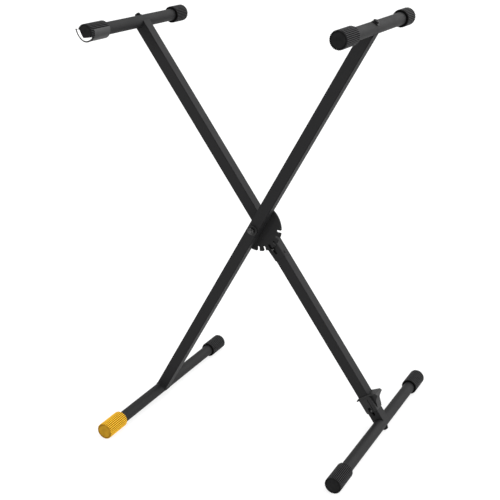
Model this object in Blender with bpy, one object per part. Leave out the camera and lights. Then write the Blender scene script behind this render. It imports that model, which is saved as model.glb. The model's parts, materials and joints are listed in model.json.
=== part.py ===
"""Folding keyboard stand with a single X.

Two square bars cross on one pivot bolt. Each bar carries a round foot tube at its lower end and a round
arm tube at its upper end. A toothed half-disc on the front bar is held by a sprung pin in the back bar,
and a foot pedal low on the back bar pulls that pin out. The left foot has an eccentric levelling cap.

Metres, +Z up. X runs from the left foot to the right foot, Y runs along the tubes and away from the
front. Most pieces are modelled in the frame of their bar: X across the bar, Y as in the world, and Z
along the bar with the pivot at zero. A distance called down is measured from the pivot towards the foot.
"""

import math

import bmesh
import bpy
from mathutils import Vector

# Stance and overall lengths
OPEN_ANGLE = math.radians(65.0)
LEG_LENGTH = 0.504
ARM_LENGTH = 0.5005
FOOT_SPAN = 0.502
ARM_SPAN = 0.357

# Fits between pieces
GAP = 0.0003
SLIDE_PLAY = 0.0005

# Square bars
BAR_WIDTH = 0.0252
BAR_WALL = 0.0015
BAR_CORNER = 0.0025
BAR_INNER_CORNER = 0.0010
BAR_SPACING = 0.0106
BAR_EAR_SETBACK = 0.0040

# Round cross tubes
TUBE_RADIUS = 0.0127
TUBE_WALL = 0.0015

# Ribbed end caps
CAP_RADIUS = 0.01775
CAP_FRONT_LENGTH = 0.061
CAP_REAR_FOOT_LENGTH = 0.058
CAP_REAR_ARM_LENGTH = 0.044
CAP_END_WALL = 0.003
CAP_END_ROUNDING = 0.0016
RIB_COUNT = 32
RIB_DEPTH = 0.0007
RIB_CROWN_SHARE = 0.43

# Eccentric levelling cap on the left foot
LEVELLING_RADIUS = 0.01815
LEVELLING_LENGTH = 0.061
LEVELLING_RIB_COUNT = 28
LEVELLING_SIDE_OFFSET = 0.00145

# Bolted joint between a bar and a cross tube
JOINT_BOLT_RADIUS = 0.004
BOLT_HOLE_PLAY = 0.0003
JOINT_HEAD_RADIUS = 0.00625
JOINT_HEAD_HEIGHT = 0.0036
JOINT_HEAD_TOP_RADIUS = 0.0040
JOINT_SOCKET_FLATS = 0.0040
JOINT_SOCKET_DEPTH = 0.0018
SADDLE_WASHER_RADIUS = 0.0080
SADDLE_WASHER_THICKNESS = 0.0012
PLUG_LENGTH = 0.0135
PLUG_INNER_REACH = 0.0205
PLUG_CORNER = 0.0012

# Pivot
PIVOT_BOLT_RADIUS = 0.004
PIVOT_BOLT_CHAMFER = 0.0006
PIVOT_SLEEVE_RADIUS = 0.007
PIVOT_SPACER_RADIUS = 0.012
PIVOT_FRONT_WASHER_RADIUS = 0.0115
PIVOT_FRONT_WASHER_THICKNESS = 0.0025
PIVOT_REAR_WASHER_RADIUS = 0.010
PIVOT_REAR_WASHER_THICKNESS = 0.0015
PIVOT_HEAD_FLATS = 0.013
PIVOT_HEAD_HEIGHT = 0.0053
PIVOT_NUT_HEIGHT = 0.008
PIVOT_NUT_HEX_SHARE = 0.72
PIVOT_THREAD_BEYOND_NUT = 0.0024

# Lock disc
DISC_RADIUS = 0.055
DISC_THICKNESS = 0.004
DISC_EDGE = 0.0076
DISC_HUB_RADIUS = 0.0122
DISC_CORNER = 0.0015
NOTCH_COUNT = 6
NOTCH_FIRST = math.radians(31.0)
NOTCH_PITCH = math.radians(17.0)
NOTCH_WIDTH = 0.0056
NOTCH_FLOOR_DEPTH = 0.0080
NOTCH_LIP = 0.0016
RIM_STEP = math.radians(4.0)

# Latch in the back bar
LATCH_PIN_RADIUS = 0.0025
LATCH_ENGAGED = 0.0473
LATCH_FREE = 0.0584
LATCH_OVERTRAVEL = 0.0095
LATCH_SLOT_END_ROOM = 0.0008
LATCH_TIP_BEYOND_DISC = 0.0004
SLIDER_ABOVE_PIN = 0.008
SLIDER_BELOW_PIN = 0.012
SLIDER_CORNER = 0.0012
PULL_ROD_RADIUS = 0.003
PULL_ROD_SEAT = 0.005
LOWER_SLIDER_ABOVE_PIN = 0.009
LOWER_SLIDER_BELOW_PIN = 0.004

# Sheet bracket that guides the latch pin
BRACKET_SHEET = 0.0015
BRACKET_TOP = 0.044
BRACKET_BEND = 0.0805
BRACKET_BOTTOM = 0.084
BRACKET_TOP_STANDOFF = 0.0050
BRACKET_REACH_BACK = 0.0157
BRACKET_CORNER = 0.0035
BRACKET_SLOT_WIDTH = 0.0066
RIVET_DOWN = 0.075
RIVET_RADIUS = 0.0021
RIVET_HEAD_RADIUS = 0.0038
RIVET_HEAD_HEIGHT = 0.0016

# Foot pedal
PEDAL_PIN_FROM_FOOT = 0.035
PEDAL_WALL = 0.0020
PEDAL_CORNER = 0.0032
PEDAL_BODY_ABOVE_PIN = 0.031
PEDAL_BODY_BELOW_PIN = 0.003
PEDAL_FOOT_BAND = 0.0018
PEDAL_FOOT_STEP = 0.0005
PEDAL_CROWN_RISE = 0.0055
PEDAL_PLATE_THICKNESS = 0.0028
PEDAL_PLATE_INSET = 0.0005
PEDAL_LIP_REACH = 0.0195
PEDAL_LIP_DROOP = 0.0028
PEDAL_TREAD_REACH = 0.0340
PEDAL_TREAD_FALL = 0.0040
PEDAL_NOSE_DROP = 0.0064
PEDAL_GUSSET_FRONT = 0.0062
PEDAL_GUSSET_REAR = 0.0018
PEDAL_GUSSET_WAIST = 0.0060
PEDAL_NOTCH_LEFT = 0.005
PEDAL_NOTCH_RIGHT = 0.0035
PEDAL_NOTCH_ABOVE_PIN = 0.009
PEDAL_GROOVE_ACROSS = 0.0062
PEDAL_GROOVE_WIDTH = 0.0016
PEDAL_GROOVE_DEPTH = 0.0011

# Return spring
SPRING_RADIUS = 0.0064
SPRING_WIRE_RADIUS = 0.0006
SPRING_TURNS = 7
SPRING_TOP = 0.014
SPRING_BOTTOM = 0.034
SPRING_TURN_POINTS = 10
SPRING_WIRE_POINTS = 5

# Roundness
ROUND_POINTS = 24
SMALL_POINTS = 16
HIDDEN_POINTS = 12
TUBE_POINTS = 32
CORNER_STEPS = 2
ARC_STEP = math.radians(30.0)
SMOOTH_ANGLE = math.radians(32.0)
CUT_BEYOND = 0.002

# Worked out from the sizes above
HALF_ANGLE = OPEN_ANGLE / 2
BAR_HALF = BAR_WIDTH / 2
BAR_INNER_HALF = BAR_HALF - BAR_WALL
BAR_NEAR_FACE = BAR_SPACING / 2
BAR_CENTRE = BAR_NEAR_FACE + BAR_HALF
BAR_FAR_FACE = BAR_NEAR_FACE + BAR_WIDTH
SADDLE_RADIUS = TUBE_RADIUS + GAP
CAP_BORE = TUBE_RADIUS + GAP
PIVOT_HEIGHT = LEG_LENGTH * math.cos(HALF_ANGLE) + CAP_RADIUS
LEVELLING_RISE = LEVELLING_RADIUS - CAP_RADIUS
LEFT_REACH = max(
    LEG_LENGTH * math.sin(HALF_ANGLE) + LEVELLING_SIDE_OFFSET + LEVELLING_RADIUS,
    ARM_LENGTH * math.sin(HALF_ANGLE) + CAP_RADIUS,
)
RIGHT_REACH = max(LEG_LENGTH, ARM_LENGTH) * math.sin(HALF_ANGLE) + CAP_RADIUS
PIVOT_X = (LEFT_REACH - RIGHT_REACH) / 2
DISC_FRONT = -BAR_NEAR_FACE + GAP
DISC_REAR = DISC_FRONT + DISC_THICKNESS
LATCH_TIP = DISC_FRONT + LATCH_TIP_BEYOND_DISC
PEDAL_PIN_DOWN = LEG_LENGTH - PEDAL_PIN_FROM_FOOT
PEDAL_BORE_HALF = BAR_HALF + GAP
PEDAL_HALF = PEDAL_BORE_HALF + PEDAL_WALL
LATCH_TRAVEL = LATCH_FREE - LATCH_ENGAGED

# Rotations that turn a piece's own Z axis along another direction
ALONG_Z = (0.0, 0.0, 0.0)
AGAINST_Z = (math.pi, 0.0, 0.0)
ALONG_Y = (-math.pi / 2, 0.0, 0.0)
ALONG_X = (0.0, math.pi / 2, 0.0)
AGAINST_X = (0.0, -math.pi / 2, 0.0)

# Finishes: linear colour, metallic, roughness
POWDER_COAT = ((0.026, 0.026, 0.028), 0.0, 0.42)
BLACK_RUBBER = ((0.016, 0.016, 0.017), 0.0, 0.72)
YELLOW_RUBBER = ((0.742, 0.371, 0.027), 0.0, 0.55)
BLACK_NYLON = ((0.020, 0.020, 0.021), 0.0, 0.50)
ZINC_PLATE = ((0.62, 0.62, 0.60), 1.0, 0.32)
SPRING_STEEL = ((0.36, 0.36, 0.37), 1.0, 0.35)


def clear_scene():
    """Removes whatever the file starts with."""
    for thing in list(bpy.data.objects):
        bpy.data.objects.remove(thing, do_unlink=True)


def ring(radius, height, count=ROUND_POINTS, centre=(0.0, 0.0)):
    """A circle of points at one height on the piece's own Z axis."""
    turns = [2 * math.pi * index / count for index in range(count)]
    return [
        (centre[0] + radius * math.cos(turn), centre[1] + radius * math.sin(turn), height)
        for turn in turns
    ]


def hex_ring(flats, height, count=ROUND_POINTS):
    """A hexagon, given across its flats, with as many points as a circle so that the two can be joined."""
    points = []
    for index in range(count):
        turn = 2 * math.pi * index / count
        from_flat = (turn + math.pi / 6) % (math.pi / 3) - math.pi / 6
        radius = flats / 2 / math.cos(from_flat)
        points.append((radius * math.cos(turn), radius * math.sin(turn), height))
    return points


def ribbed_ring(radius, depth, height, ribs, centre):
    """Flat rib crowns that touch the given radius, with a valley between each two of them."""
    points = []
    pitch = 2 * math.pi / ribs
    half_crown = RIB_CROWN_SHARE * pitch / 2
    crown_radius = radius / math.cos(half_crown)
    for rib in range(ribs):
        middle = rib * pitch
        steps = (
            (middle - half_crown, crown_radius),
            (middle + half_crown, crown_radius),
            (middle + pitch / 2, radius - depth),
        )
        for turn, reach in steps:
            points.append(
                (centre[0] + reach * math.cos(turn), centre[1] + reach * math.sin(turn), height)
            )
    return points


def square_ring(half, corner, height):
    """A square with rounded corners at one height on the piece's own Z axis."""
    points = []
    for quarter in range(4):
        middle = math.radians(45 + 90 * quarter)
        across = math.copysign(half - corner, math.cos(middle))
        deep = math.copysign(half - corner, math.sin(middle))
        for step in range(CORNER_STEPS + 1):
            turn = math.radians(90 * quarter + 90 * step / CORNER_STEPS)
            points.append((across + corner * math.cos(turn), deep + corner * math.sin(turn), height))
    return points


def outline(corners):
    """Turns corners given as (across, down, radius) into points, with an arc at each rounded corner."""
    points = []
    count = len(corners)
    for index, (across, down, radius) in enumerate(corners):
        here = Vector((across, down))
        if radius == 0:
            points.append(here)
            continue
        back = (Vector(corners[index - 1][:2]) - here).normalized()
        onward = (Vector(corners[(index + 1) % count][:2]) - here).normalized()
        half = back.angle(onward) / 2
        centre = here + (back + onward).normalized() * (radius / math.sin(half))
        start = here + back * (radius / math.tan(half)) - centre
        end = here + onward * (radius / math.tan(half)) - centre
        first = math.atan2(start.y, start.x)
        sweep = (math.atan2(end.y, end.x) - first + math.pi) % (2 * math.pi) - math.pi
        steps = max(2, math.ceil(abs(sweep) / ARC_STEP))
        for step in range(steps + 1):
            turn = first + sweep * step / steps
            points.append(centre + radius * Vector((math.cos(turn), math.sin(turn))))
    return points


def stadium(width, top, bottom):
    """The outline of a slot with round ends; top and bottom are its ends, down from the pivot."""
    radius = width / 2
    steps = SMALL_POINTS // 2
    points = []
    for centre, first in ((bottom - radius, 0.0), (top + radius, math.pi)):
        for step in range(steps + 1):
            turn = first + math.pi * step / steps
            points.append(Vector((radius * math.cos(turn), centre + radius * math.sin(turn))))
    return points


def skin(rings, joined=False):
    """A closed mesh over a row of rings: with flat ends, or joined from the last ring to the first."""
    shape = bmesh.new()
    rows = [[shape.verts.new(point) for point in points] for points in rings]
    if joined:
        rows.append(rows[0])
    else:
        shape.faces.new(reversed(rows[0]))
        shape.faces.new(rows[-1])
    count = len(rows[0])
    for low, high in zip(rows, rows[1:]):
        for index in range(count):
            beside = (index + 1) % count
            shape.faces.new((low[index], low[beside], high[beside], high[index]))
    bmesh.ops.recalc_face_normals(shape, faces=shape.faces)
    mesh = bpy.data.meshes.new("skin")
    shape.to_mesh(mesh)
    shape.free()
    return mesh


def prism(points, start, end):
    """A flat outline, given across and down, carried along the piece's own Z axis."""
    return skin([[(point[0], point[1], height) for point in points] for height in (start, end)])


def add_axis(name, location, turn=0.0, parent=None):
    """An empty on a joint's axis, turned about Y."""
    axis = bpy.data.objects.new(name, None)
    axis.empty_display_size = 0.05
    axis.location = location
    axis.rotation_euler = (0.0, turn, 0.0)
    axis.parent = parent
    bpy.context.collection.objects.link(axis)
    return axis


def add_piece(name, mesh, parent, finish, location=(0.0, 0.0, 0.0), rotation=ALONG_Z):
    """Puts one named piece with its own material into the frame of its parent."""
    colour, metallic, roughness = finish
    material = bpy.data.materials.new(name)
    material.use_nodes = True
    surface = material.node_tree.nodes["Principled BSDF"]
    surface.inputs["Base Color"].default_value = (*colour, 1.0)
    surface.inputs["Metallic"].default_value = metallic
    surface.inputs["Roughness"].default_value = roughness
    material.diffuse_color = (*colour, 1.0)
    mesh.name = name
    mesh.materials.append(material)
    mesh.shade_smooth()
    mesh.set_sharp_from_angle(angle=SMOOTH_ANGLE)
    piece = bpy.data.objects.new(name, mesh)
    piece.parent = parent
    piece.location = location
    piece.rotation_euler = rotation
    bpy.context.collection.objects.link(piece)
    return piece


def add_cutter(name, mesh, parent, location=(0.0, 0.0, 0.0), rotation=ALONG_Z):
    """A helper for Boolean modifiers, left out of renders."""
    cutter = bpy.data.objects.new(name, mesh)
    mesh.name = name
    cutter.parent = parent
    cutter.location = location
    cutter.rotation_euler = rotation
    cutter.hide_render = True
    cutter.display_type = "WIRE"
    bpy.context.collection.objects.link(cutter)
    return cutter


def boolean(piece, other, operation="DIFFERENCE"):
    """Cuts the other object out of the piece, or joins it on."""
    modifier = piece.modifiers.new(other.name, "BOOLEAN")
    modifier.operation = operation
    modifier.solver = "EXACT"
    modifier.object = other
    return modifier


def drill(name, radius, start, end, parent, location=(0.0, 0.0, 0.0), rotation=ALONG_Z, count=ROUND_POINTS):
    """A cylinder cutter along its own Z axis, longer than what it cuts."""
    mesh = skin(
        [
            ring(radius, start - CUT_BEYOND, count),
            ring(radius, end + CUT_BEYOND, count),
        ]
    )
    return add_cutter(name, mesh, parent, location, rotation)


def square_bar(name, centre, frame):
    """A square tube that runs from one cross tube to the other, with its ends shaped to sit on them."""
    top = ARM_LENGTH - BAR_EAR_SETBACK
    bottom = -(LEG_LENGTH - BAR_EAR_SETBACK)
    mesh = skin(
        [
            square_ring(BAR_HALF, BAR_CORNER, bottom),
            square_ring(BAR_HALF, BAR_CORNER, top),
            square_ring(BAR_INNER_HALF, BAR_INNER_CORNER, top),
            square_ring(BAR_INNER_HALF, BAR_INNER_CORNER, bottom),
        ],
        joined=True,
    )
    bar = add_piece(name, mesh, frame, POWDER_COAT, (0.0, centre, 0.0))
    sleeve_hole = drill(
        f"{name}_pivot_hole",
        PIVOT_SLEEVE_RADIUS + GAP,
        -BAR_HALF,
        BAR_HALF,
        frame,
        (0.0, centre, 0.0),
        ALONG_Y,
    )
    boolean(bar, sleeve_hole)
    return bar


def saddle_cutter(name, frame, centre, height):
    """The shape of a cross tube with its gap, which gives a bar's end or a plug its fish mouth."""
    return drill(
        name,
        SADDLE_RADIUS,
        -BAR_HALF,
        BAR_HALF,
        frame,
        (0.0, centre, height),
        ALONG_Y,
        TUBE_POINTS,
    )


def cross_tube(name, frame, height, span):
    """A round tube along Y that ends just short of its caps' end walls."""
    end = span / 2 - CAP_END_WALL - GAP
    mesh = skin(
        [
            ring(TUBE_RADIUS, -end, TUBE_POINTS),
            ring(TUBE_RADIUS, end, TUBE_POINTS),
            ring(TUBE_RADIUS - TUBE_WALL, end, TUBE_POINTS),
            ring(TUBE_RADIUS - TUBE_WALL, -end, TUBE_POINTS),
        ],
        joined=True,
    )
    return add_piece(name, mesh, frame, POWDER_COAT, (0.0, 0.0, height), ALONG_Y)


def ribbed_cap(name, length, radius, ribs, parent, finish, location, rotation, offset=(0.0, 0.0)):
    """A ribbed cap with a round bore; the offset moves its outside off the bore's axis."""
    mesh = skin(
        [
            ribbed_ring(radius, RIB_DEPTH, 0.0, ribs, offset),
            ribbed_ring(radius, RIB_DEPTH, length - CAP_END_ROUNDING, ribs, offset),
            ribbed_ring(radius - CAP_END_ROUNDING, 0.0, length, ribs, offset),
        ]
    )
    cap = add_piece(name, mesh, parent, finish, location, rotation)
    bore_end = length - CAP_END_WALL - CUT_BEYOND
    bore = drill(f"{name}_bore", CAP_BORE, 0.0, bore_end, parent, location, rotation, TUBE_POINTS)
    boolean(cap, bore)


def end_cap(name, frame, frame_turn, height, span, length, toward):
    """A black cap on a cross tube's end; toward is -1 for the front end and 1 for the rear end."""
    location = (0.0, toward * (span / 2 - length), height)
    rotation = (-toward * math.pi / 2, -frame_turn, 0.0)
    ribbed_cap(name, length, CAP_RADIUS, RIB_COUNT, frame, BLACK_RUBBER, location, rotation)


def bolted_joint(name, frame, tube, bar, centre, height):
    """The bolt, curved washer and end plug that hold a bar's end on its cross tube.

    They are modelled with the tube's axis at zero and their own Z axis towards the pivot."""
    at = (0.0, centre, height)
    turn = ALONG_Z if height < 0 else AGAINST_Z
    head_seat = -(SADDLE_RADIUS + SADDLE_WASHER_THICKNESS + GAP)
    head_top = head_seat - JOINT_HEAD_HEIGHT
    hole = JOINT_BOLT_RADIUS + BOLT_HOLE_PLAY
    plug_end = PLUG_INNER_REACH - PLUG_LENGTH
    bolt = skin(
        [
            ring(JOINT_BOLT_RADIUS, PLUG_INNER_REACH - GAP),
            ring(JOINT_BOLT_RADIUS, head_seat),
            ring(JOINT_HEAD_RADIUS, head_seat),
            ring(JOINT_HEAD_RADIUS, head_seat - JOINT_HEAD_HEIGHT * 0.3),
            ring(JOINT_HEAD_RADIUS * 0.88, head_seat - JOINT_HEAD_HEIGHT * 0.75),
            ring(JOINT_HEAD_TOP_RADIUS, head_top),
            hex_ring(JOINT_SOCKET_FLATS, head_top),
            hex_ring(JOINT_SOCKET_FLATS, head_top + JOINT_SOCKET_DEPTH),
        ]
    )
    add_piece(f"{name}_bolt", bolt, frame, ZINC_PLATE, at, turn)

    def on_tube(radius, tube_radius):
        return [
            (across, along, -math.sqrt(tube_radius**2 - across**2))
            for across, along, _ in ring(radius, 0.0, SMALL_POINTS)
        ]

    middle = (hole + SADDLE_WASHER_RADIUS) / 2
    outside = SADDLE_RADIUS + SADDLE_WASHER_THICKNESS
    washer = skin(
        [
            on_tube(hole, SADDLE_RADIUS),
            on_tube(middle, SADDLE_RADIUS),
            on_tube(SADDLE_WASHER_RADIUS, SADDLE_RADIUS),
            on_tube(SADDLE_WASHER_RADIUS, outside),
            on_tube(middle, outside),
            on_tube(hole, outside),
        ],
        joined=True,
    )
    add_piece(f"{name}_saddle_washer", washer, frame, ZINC_PLATE, at, turn)

    plug_half = BAR_INNER_HALF - GAP
    plug = add_piece(
        f"{name}_end_plug",
        skin(
            [
                square_ring(plug_half, PLUG_CORNER, plug_end),
                square_ring(plug_half, PLUG_CORNER, PLUG_INNER_REACH),
            ]
        ),
        frame,
        BLACK_NYLON,
        at,
        turn,
    )
    saddle = saddle_cutter(f"{name}_saddle", frame, centre, height)
    bolt_hole = drill(
        f"{name}_bolt_hole", hole, -TUBE_RADIUS, PLUG_INNER_REACH, frame, at, turn, SMALL_POINTS
    )
    boolean(plug, saddle)
    boolean(plug, bolt_hole)
    boolean(tube, bolt_hole)
    boolean(bar, saddle)


def pivot(back_frame, front_frame):
    """The bolt stack through both bars, from the nut at the front to the head at the rear."""
    front_washer_front = -BAR_FAR_FACE - GAP - PIVOT_FRONT_WASHER_THICKNESS
    nut_rear = front_washer_front - GAP
    nut_front = nut_rear - PIVOT_NUT_HEIGHT
    bolt_front = nut_front - PIVOT_THREAD_BEYOND_NUT
    rear_washer_front = BAR_FAR_FACE + GAP
    rear_washer_rear = rear_washer_front + PIVOT_REAR_WASHER_THICKNESS
    head_front = rear_washer_rear + GAP
    head_rear = head_front + PIVOT_HEAD_HEIGHT
    hole = PIVOT_BOLT_RADIUS + BOLT_HOLE_PLAY
    bolt = skin(
        [
            ring(PIVOT_BOLT_RADIUS - PIVOT_BOLT_CHAMFER, bolt_front),
            ring(PIVOT_BOLT_RADIUS, bolt_front + PIVOT_BOLT_CHAMFER),
            ring(PIVOT_BOLT_RADIUS, head_front),
            hex_ring(PIVOT_HEAD_FLATS, head_front),
            hex_ring(PIVOT_HEAD_FLATS, head_rear - PIVOT_BOLT_CHAMFER),
            ring(PIVOT_HEAD_FLATS / 2 - PIVOT_BOLT_CHAMFER, head_rear),
        ]
    )
    add_piece("pivot_bolt", bolt, back_frame, ZINC_PLATE, rotation=ALONG_Y)

    hex_front = nut_rear - PIVOT_NUT_HEIGHT * PIVOT_NUT_HEX_SHARE
    collar = PIVOT_HEAD_FLATS / 2 - PIVOT_BOLT_CHAMFER
    nut = skin(
        [
            ring(hole, nut_rear),
            hex_ring(PIVOT_HEAD_FLATS, nut_rear),
            hex_ring(PIVOT_HEAD_FLATS, hex_front),
            ring(collar, hex_front - PIVOT_BOLT_CHAMFER),
            ring(collar, nut_front + PIVOT_BOLT_CHAMFER),
            ring(collar - PIVOT_BOLT_CHAMFER, nut_front),
            ring(hole, nut_front),
        ],
        joined=True,
    )
    add_piece("pivot_nut", nut, back_frame, ZINC_PLATE, rotation=ALONG_Y)

    def collar_piece(name, radius, start, end, frame, finish):
        rows = ((radius, start), (radius, end), (hole, end), (hole, start))
        count = SMALL_POINTS if radius == PIVOT_SLEEVE_RADIUS else ROUND_POINTS
        mesh = skin([ring(reach, height, count) for reach, height in rows], joined=True)
        add_piece(name, mesh, frame, finish, rotation=ALONG_Y)

    collar_piece(
        "pivot_washer_front",
        PIVOT_FRONT_WASHER_RADIUS,
        front_washer_front,
        -BAR_FAR_FACE - GAP,
        back_frame,
        BLACK_NYLON,
    )
    collar_piece(
        "pivot_washer_rear",
        PIVOT_REAR_WASHER_RADIUS,
        rear_washer_front,
        rear_washer_rear,
        back_frame,
        ZINC_PLATE,
    )
    collar_piece(
        "pivot_spacer",
        PIVOT_SPACER_RADIUS,
        DISC_REAR + GAP,
        BAR_NEAR_FACE - GAP,
        back_frame,
        BLACK_NYLON,
    )
    collar_piece(
        "back_pivot_sleeve",
        PIVOT_SLEEVE_RADIUS,
        BAR_NEAR_FACE,
        BAR_FAR_FACE,
        back_frame,
        POWDER_COAT,
    )
    collar_piece(
        "front_pivot_sleeve",
        PIVOT_SLEEVE_RADIUS,
        -BAR_FAR_FACE,
        -BAR_NEAR_FACE,
        front_frame,
        POWDER_COAT,
    )


def rim_point(angle, radius=DISC_RADIUS):
    """A point on the disc; the angle is measured from straight down the bar."""
    return Vector((radius * math.sin(angle), radius * math.cos(angle)))


def disc_outline():
    """The half-disc with its notches, its straight edge behind the bar, and its hub round the pivot."""
    first = math.asin(DISC_EDGE / DISC_RADIUS)
    last = math.pi - first
    mouth = math.asin(NOTCH_WIDTH / 2 / DISC_RADIUS)
    corners = [(*rim_point(first), DISC_CORNER)]
    reached = first
    for notch in range(NOTCH_COUNT):
        middle = NOTCH_FIRST + NOTCH_PITCH * notch
        corners += rim_stretch(reached, middle - mouth)
        corners += notch_corners(middle)
        reached = middle + mouth
    corners += rim_stretch(reached, last)
    corners.append((*rim_point(last), DISC_CORNER))
    hub_start = math.asin(DISC_EDGE / DISC_HUB_RADIUS)
    hub_sweep = 2 * math.pi - 2 * hub_start
    steps = SMALL_POINTS
    for step in range(steps + 1):
        turn = math.pi - hub_start + hub_sweep * step / steps
        corners.append((*rim_point(turn, DISC_HUB_RADIUS), 0))
    return outline(corners)


def rim_stretch(start, end):
    """Points on the rim between two angles, without its ends."""
    steps = max(2, math.ceil((end - start) / RIM_STEP))
    return [(*rim_point(start + (end - start) * step / steps), 0) for step in range(1, steps)]


def notch_corners(middle):
    """The two rounded lips and the half-round floor of one notch."""
    outward = rim_point(middle, 1.0)
    beside = Vector((outward.y, -outward.x))
    half = NOTCH_WIDTH / 2
    lip_reach = math.sqrt(DISC_RADIUS**2 - half**2)
    floor = outward * (DISC_RADIUS - NOTCH_FLOOR_DEPTH)
    corners = [(*(outward * lip_reach - beside * half), NOTCH_LIP)]
    steps = SMALL_POINTS // 2
    for step in range(steps + 1):
        turn = math.pi * step / steps
        point = floor - beside * half * math.cos(turn) - outward * half * math.sin(turn)
        corners.append((*point, 0))
    corners.append((*(outward * lip_reach + beside * half), NOTCH_LIP))
    return corners


def lock_disc(frame):
    """The toothed plate on the front bar's rear face, which the latch pin holds."""
    disc = add_piece(
        "lock_disc",
        prism(disc_outline(), DISC_FRONT, DISC_REAR),
        frame,
        POWDER_COAT,
        rotation=ALONG_Y,
    )
    hole = drill(
        "lock_disc_pivot_hole",
        PIVOT_BOLT_RADIUS + BOLT_HOLE_PLAY,
        DISC_FRONT,
        DISC_REAR,
        frame,
        rotation=ALONG_Y,
    )
    boolean(disc, hole)


def slot(name, width, top, bottom, start, end, frame, piece):
    """Cuts a slot with round ends through a piece, from one Y to another."""
    cutter = add_cutter(name, prism(stadium(width, top, bottom), start, end), frame, rotation=ALONG_Y)
    boolean(piece, cutter)


def bracket_section(front, back, height):
    """The bent sheet of the bracket, cut across at one height."""
    half = BAR_HALF + GAP + BRACKET_SHEET
    inner = half - BRACKET_SHEET
    inside = front + BRACKET_SHEET
    inner_corner = BRACKET_CORNER - BRACKET_SHEET
    corners = [
        (-half, back, 0),
        (-half, front, BRACKET_CORNER),
        (half, front, BRACKET_CORNER),
        (half, back, 0),
        (inner, back, 0),
        (inner, inside, inner_corner),
        (-inner, inside, inner_corner),
        (-inner, back, 0),
    ]
    return [(across, deep, height) for across, deep in outline(corners)]


def latch_bracket(frame, back_bar):
    """The sheet guide over the back bar, held by a rivet on each side."""
    seated = BAR_NEAR_FACE - GAP - BRACKET_SHEET
    standing = BAR_NEAR_FACE - BRACKET_TOP_STANDOFF
    back = BAR_NEAR_FACE + BRACKET_REACH_BACK
    mesh = skin(
        [
            bracket_section(seated, back, -BRACKET_BOTTOM),
            bracket_section(seated, back, -BRACKET_BEND),
            bracket_section(standing, back, -BRACKET_TOP),
        ]
    )
    bracket = add_piece("latch_bracket", mesh, frame, POWDER_COAT)
    slot_bottom = LATCH_FREE + LATCH_OVERTRAVEL + LATCH_PIN_RADIUS + LATCH_SLOT_END_ROOM
    slot(
        "bracket_slot",
        BRACKET_SLOT_WIDTH,
        BRACKET_TOP - BRACKET_SLOT_WIDTH,
        slot_bottom,
        standing - CUT_BEYOND,
        BAR_NEAR_FACE,
        frame,
        bracket,
    )
    deep = BAR_NEAR_FACE + BRACKET_REACH_BACK / 2
    outside = BAR_HALF + GAP + BRACKET_SHEET
    rivet_hole = drill(
        "rivet_hole",
        RIVET_RADIUS + GAP,
        -outside,
        outside,
        frame,
        (0.0, deep, -RIVET_DOWN),
        ALONG_X,
        SMALL_POINTS,
    )
    boolean(bracket, rivet_hole)
    boolean(back_bar, rivet_hole)
    seat = outside + GAP
    rivet = [
        ring(RIVET_RADIUS, BAR_INNER_HALF + GAP, SMALL_POINTS),
        ring(RIVET_RADIUS, seat, SMALL_POINTS),
        ring(RIVET_HEAD_RADIUS, seat, SMALL_POINTS),
        ring(RIVET_HEAD_RADIUS * 0.8, seat + RIVET_HEAD_HEIGHT * 0.7, SMALL_POINTS),
        ring(RIVET_HEAD_RADIUS * 0.4, seat + RIVET_HEAD_HEIGHT, SMALL_POINTS),
    ]
    for side, turn in (("left", AGAINST_X), ("right", ALONG_X)):
        name = f"bracket_rivet_{side}"
        add_piece(name, skin(rivet), frame, POWDER_COAT, (0.0, deep, -RIVET_DOWN), turn)


def latch_slots(frame, back_bar):
    """The slots in the back bar that the latch pin and the pedal pin move in."""
    width = 2 * (LATCH_PIN_RADIUS + SLIDE_PLAY)
    room = LATCH_PIN_RADIUS + LATCH_SLOT_END_ROOM
    lowest = LATCH_FREE + LATCH_OVERTRAVEL + room
    slot(
        "latch_slot",
        width,
        LATCH_ENGAGED - room,
        lowest,
        BAR_NEAR_FACE - CUT_BEYOND,
        BAR_NEAR_FACE + BAR_WALL + CUT_BEYOND,
        frame,
        back_bar,
    )
    slot(
        "pedal_pin_slot",
        width,
        PEDAL_PIN_DOWN - LATCH_TRAVEL - room,
        PEDAL_PIN_DOWN + LATCH_OVERTRAVEL + room,
        BAR_NEAR_FACE - CUT_BEYOND,
        BAR_FAR_FACE + CUT_BEYOND,
        frame,
        back_bar,
    )


def slider(name, pin_down, above, below, frame, rod_from_below):
    """A block inside the bar with a cross hole for its pin and a seat for the pull rod."""
    half = BAR_INNER_HALF - GAP
    block = add_piece(
        name,
        skin(
            [
                square_ring(half, SLIDER_CORNER, -(pin_down + below)),
                square_ring(half, SLIDER_CORNER, -(pin_down - above)),
            ]
        ),
        frame,
        BLACK_NYLON,
    )
    pin_hole = drill(
        f"{name}_pin_hole",
        LATCH_PIN_RADIUS + GAP,
        -half,
        half,
        frame,
        (0.0, 0.0, -pin_down),
        ALONG_Y,
        HIDDEN_POINTS,
    )
    boolean(block, pin_hole)
    rod_end = pin_down + below if rod_from_below else pin_down - above
    inward = -1 if rod_from_below else 1
    depths = sorted((rod_end - inward * CUT_BEYOND, rod_end + inward * (PULL_ROD_SEAT + GAP)))
    seat = add_cutter(
        f"{name}_rod_seat",
        skin([ring(PULL_ROD_RADIUS + GAP, -depth, HIDDEN_POINTS) for depth in reversed(depths)]),
        frame,
    )
    boolean(block, seat)
    return rod_end + inward * PULL_ROD_SEAT


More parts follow.
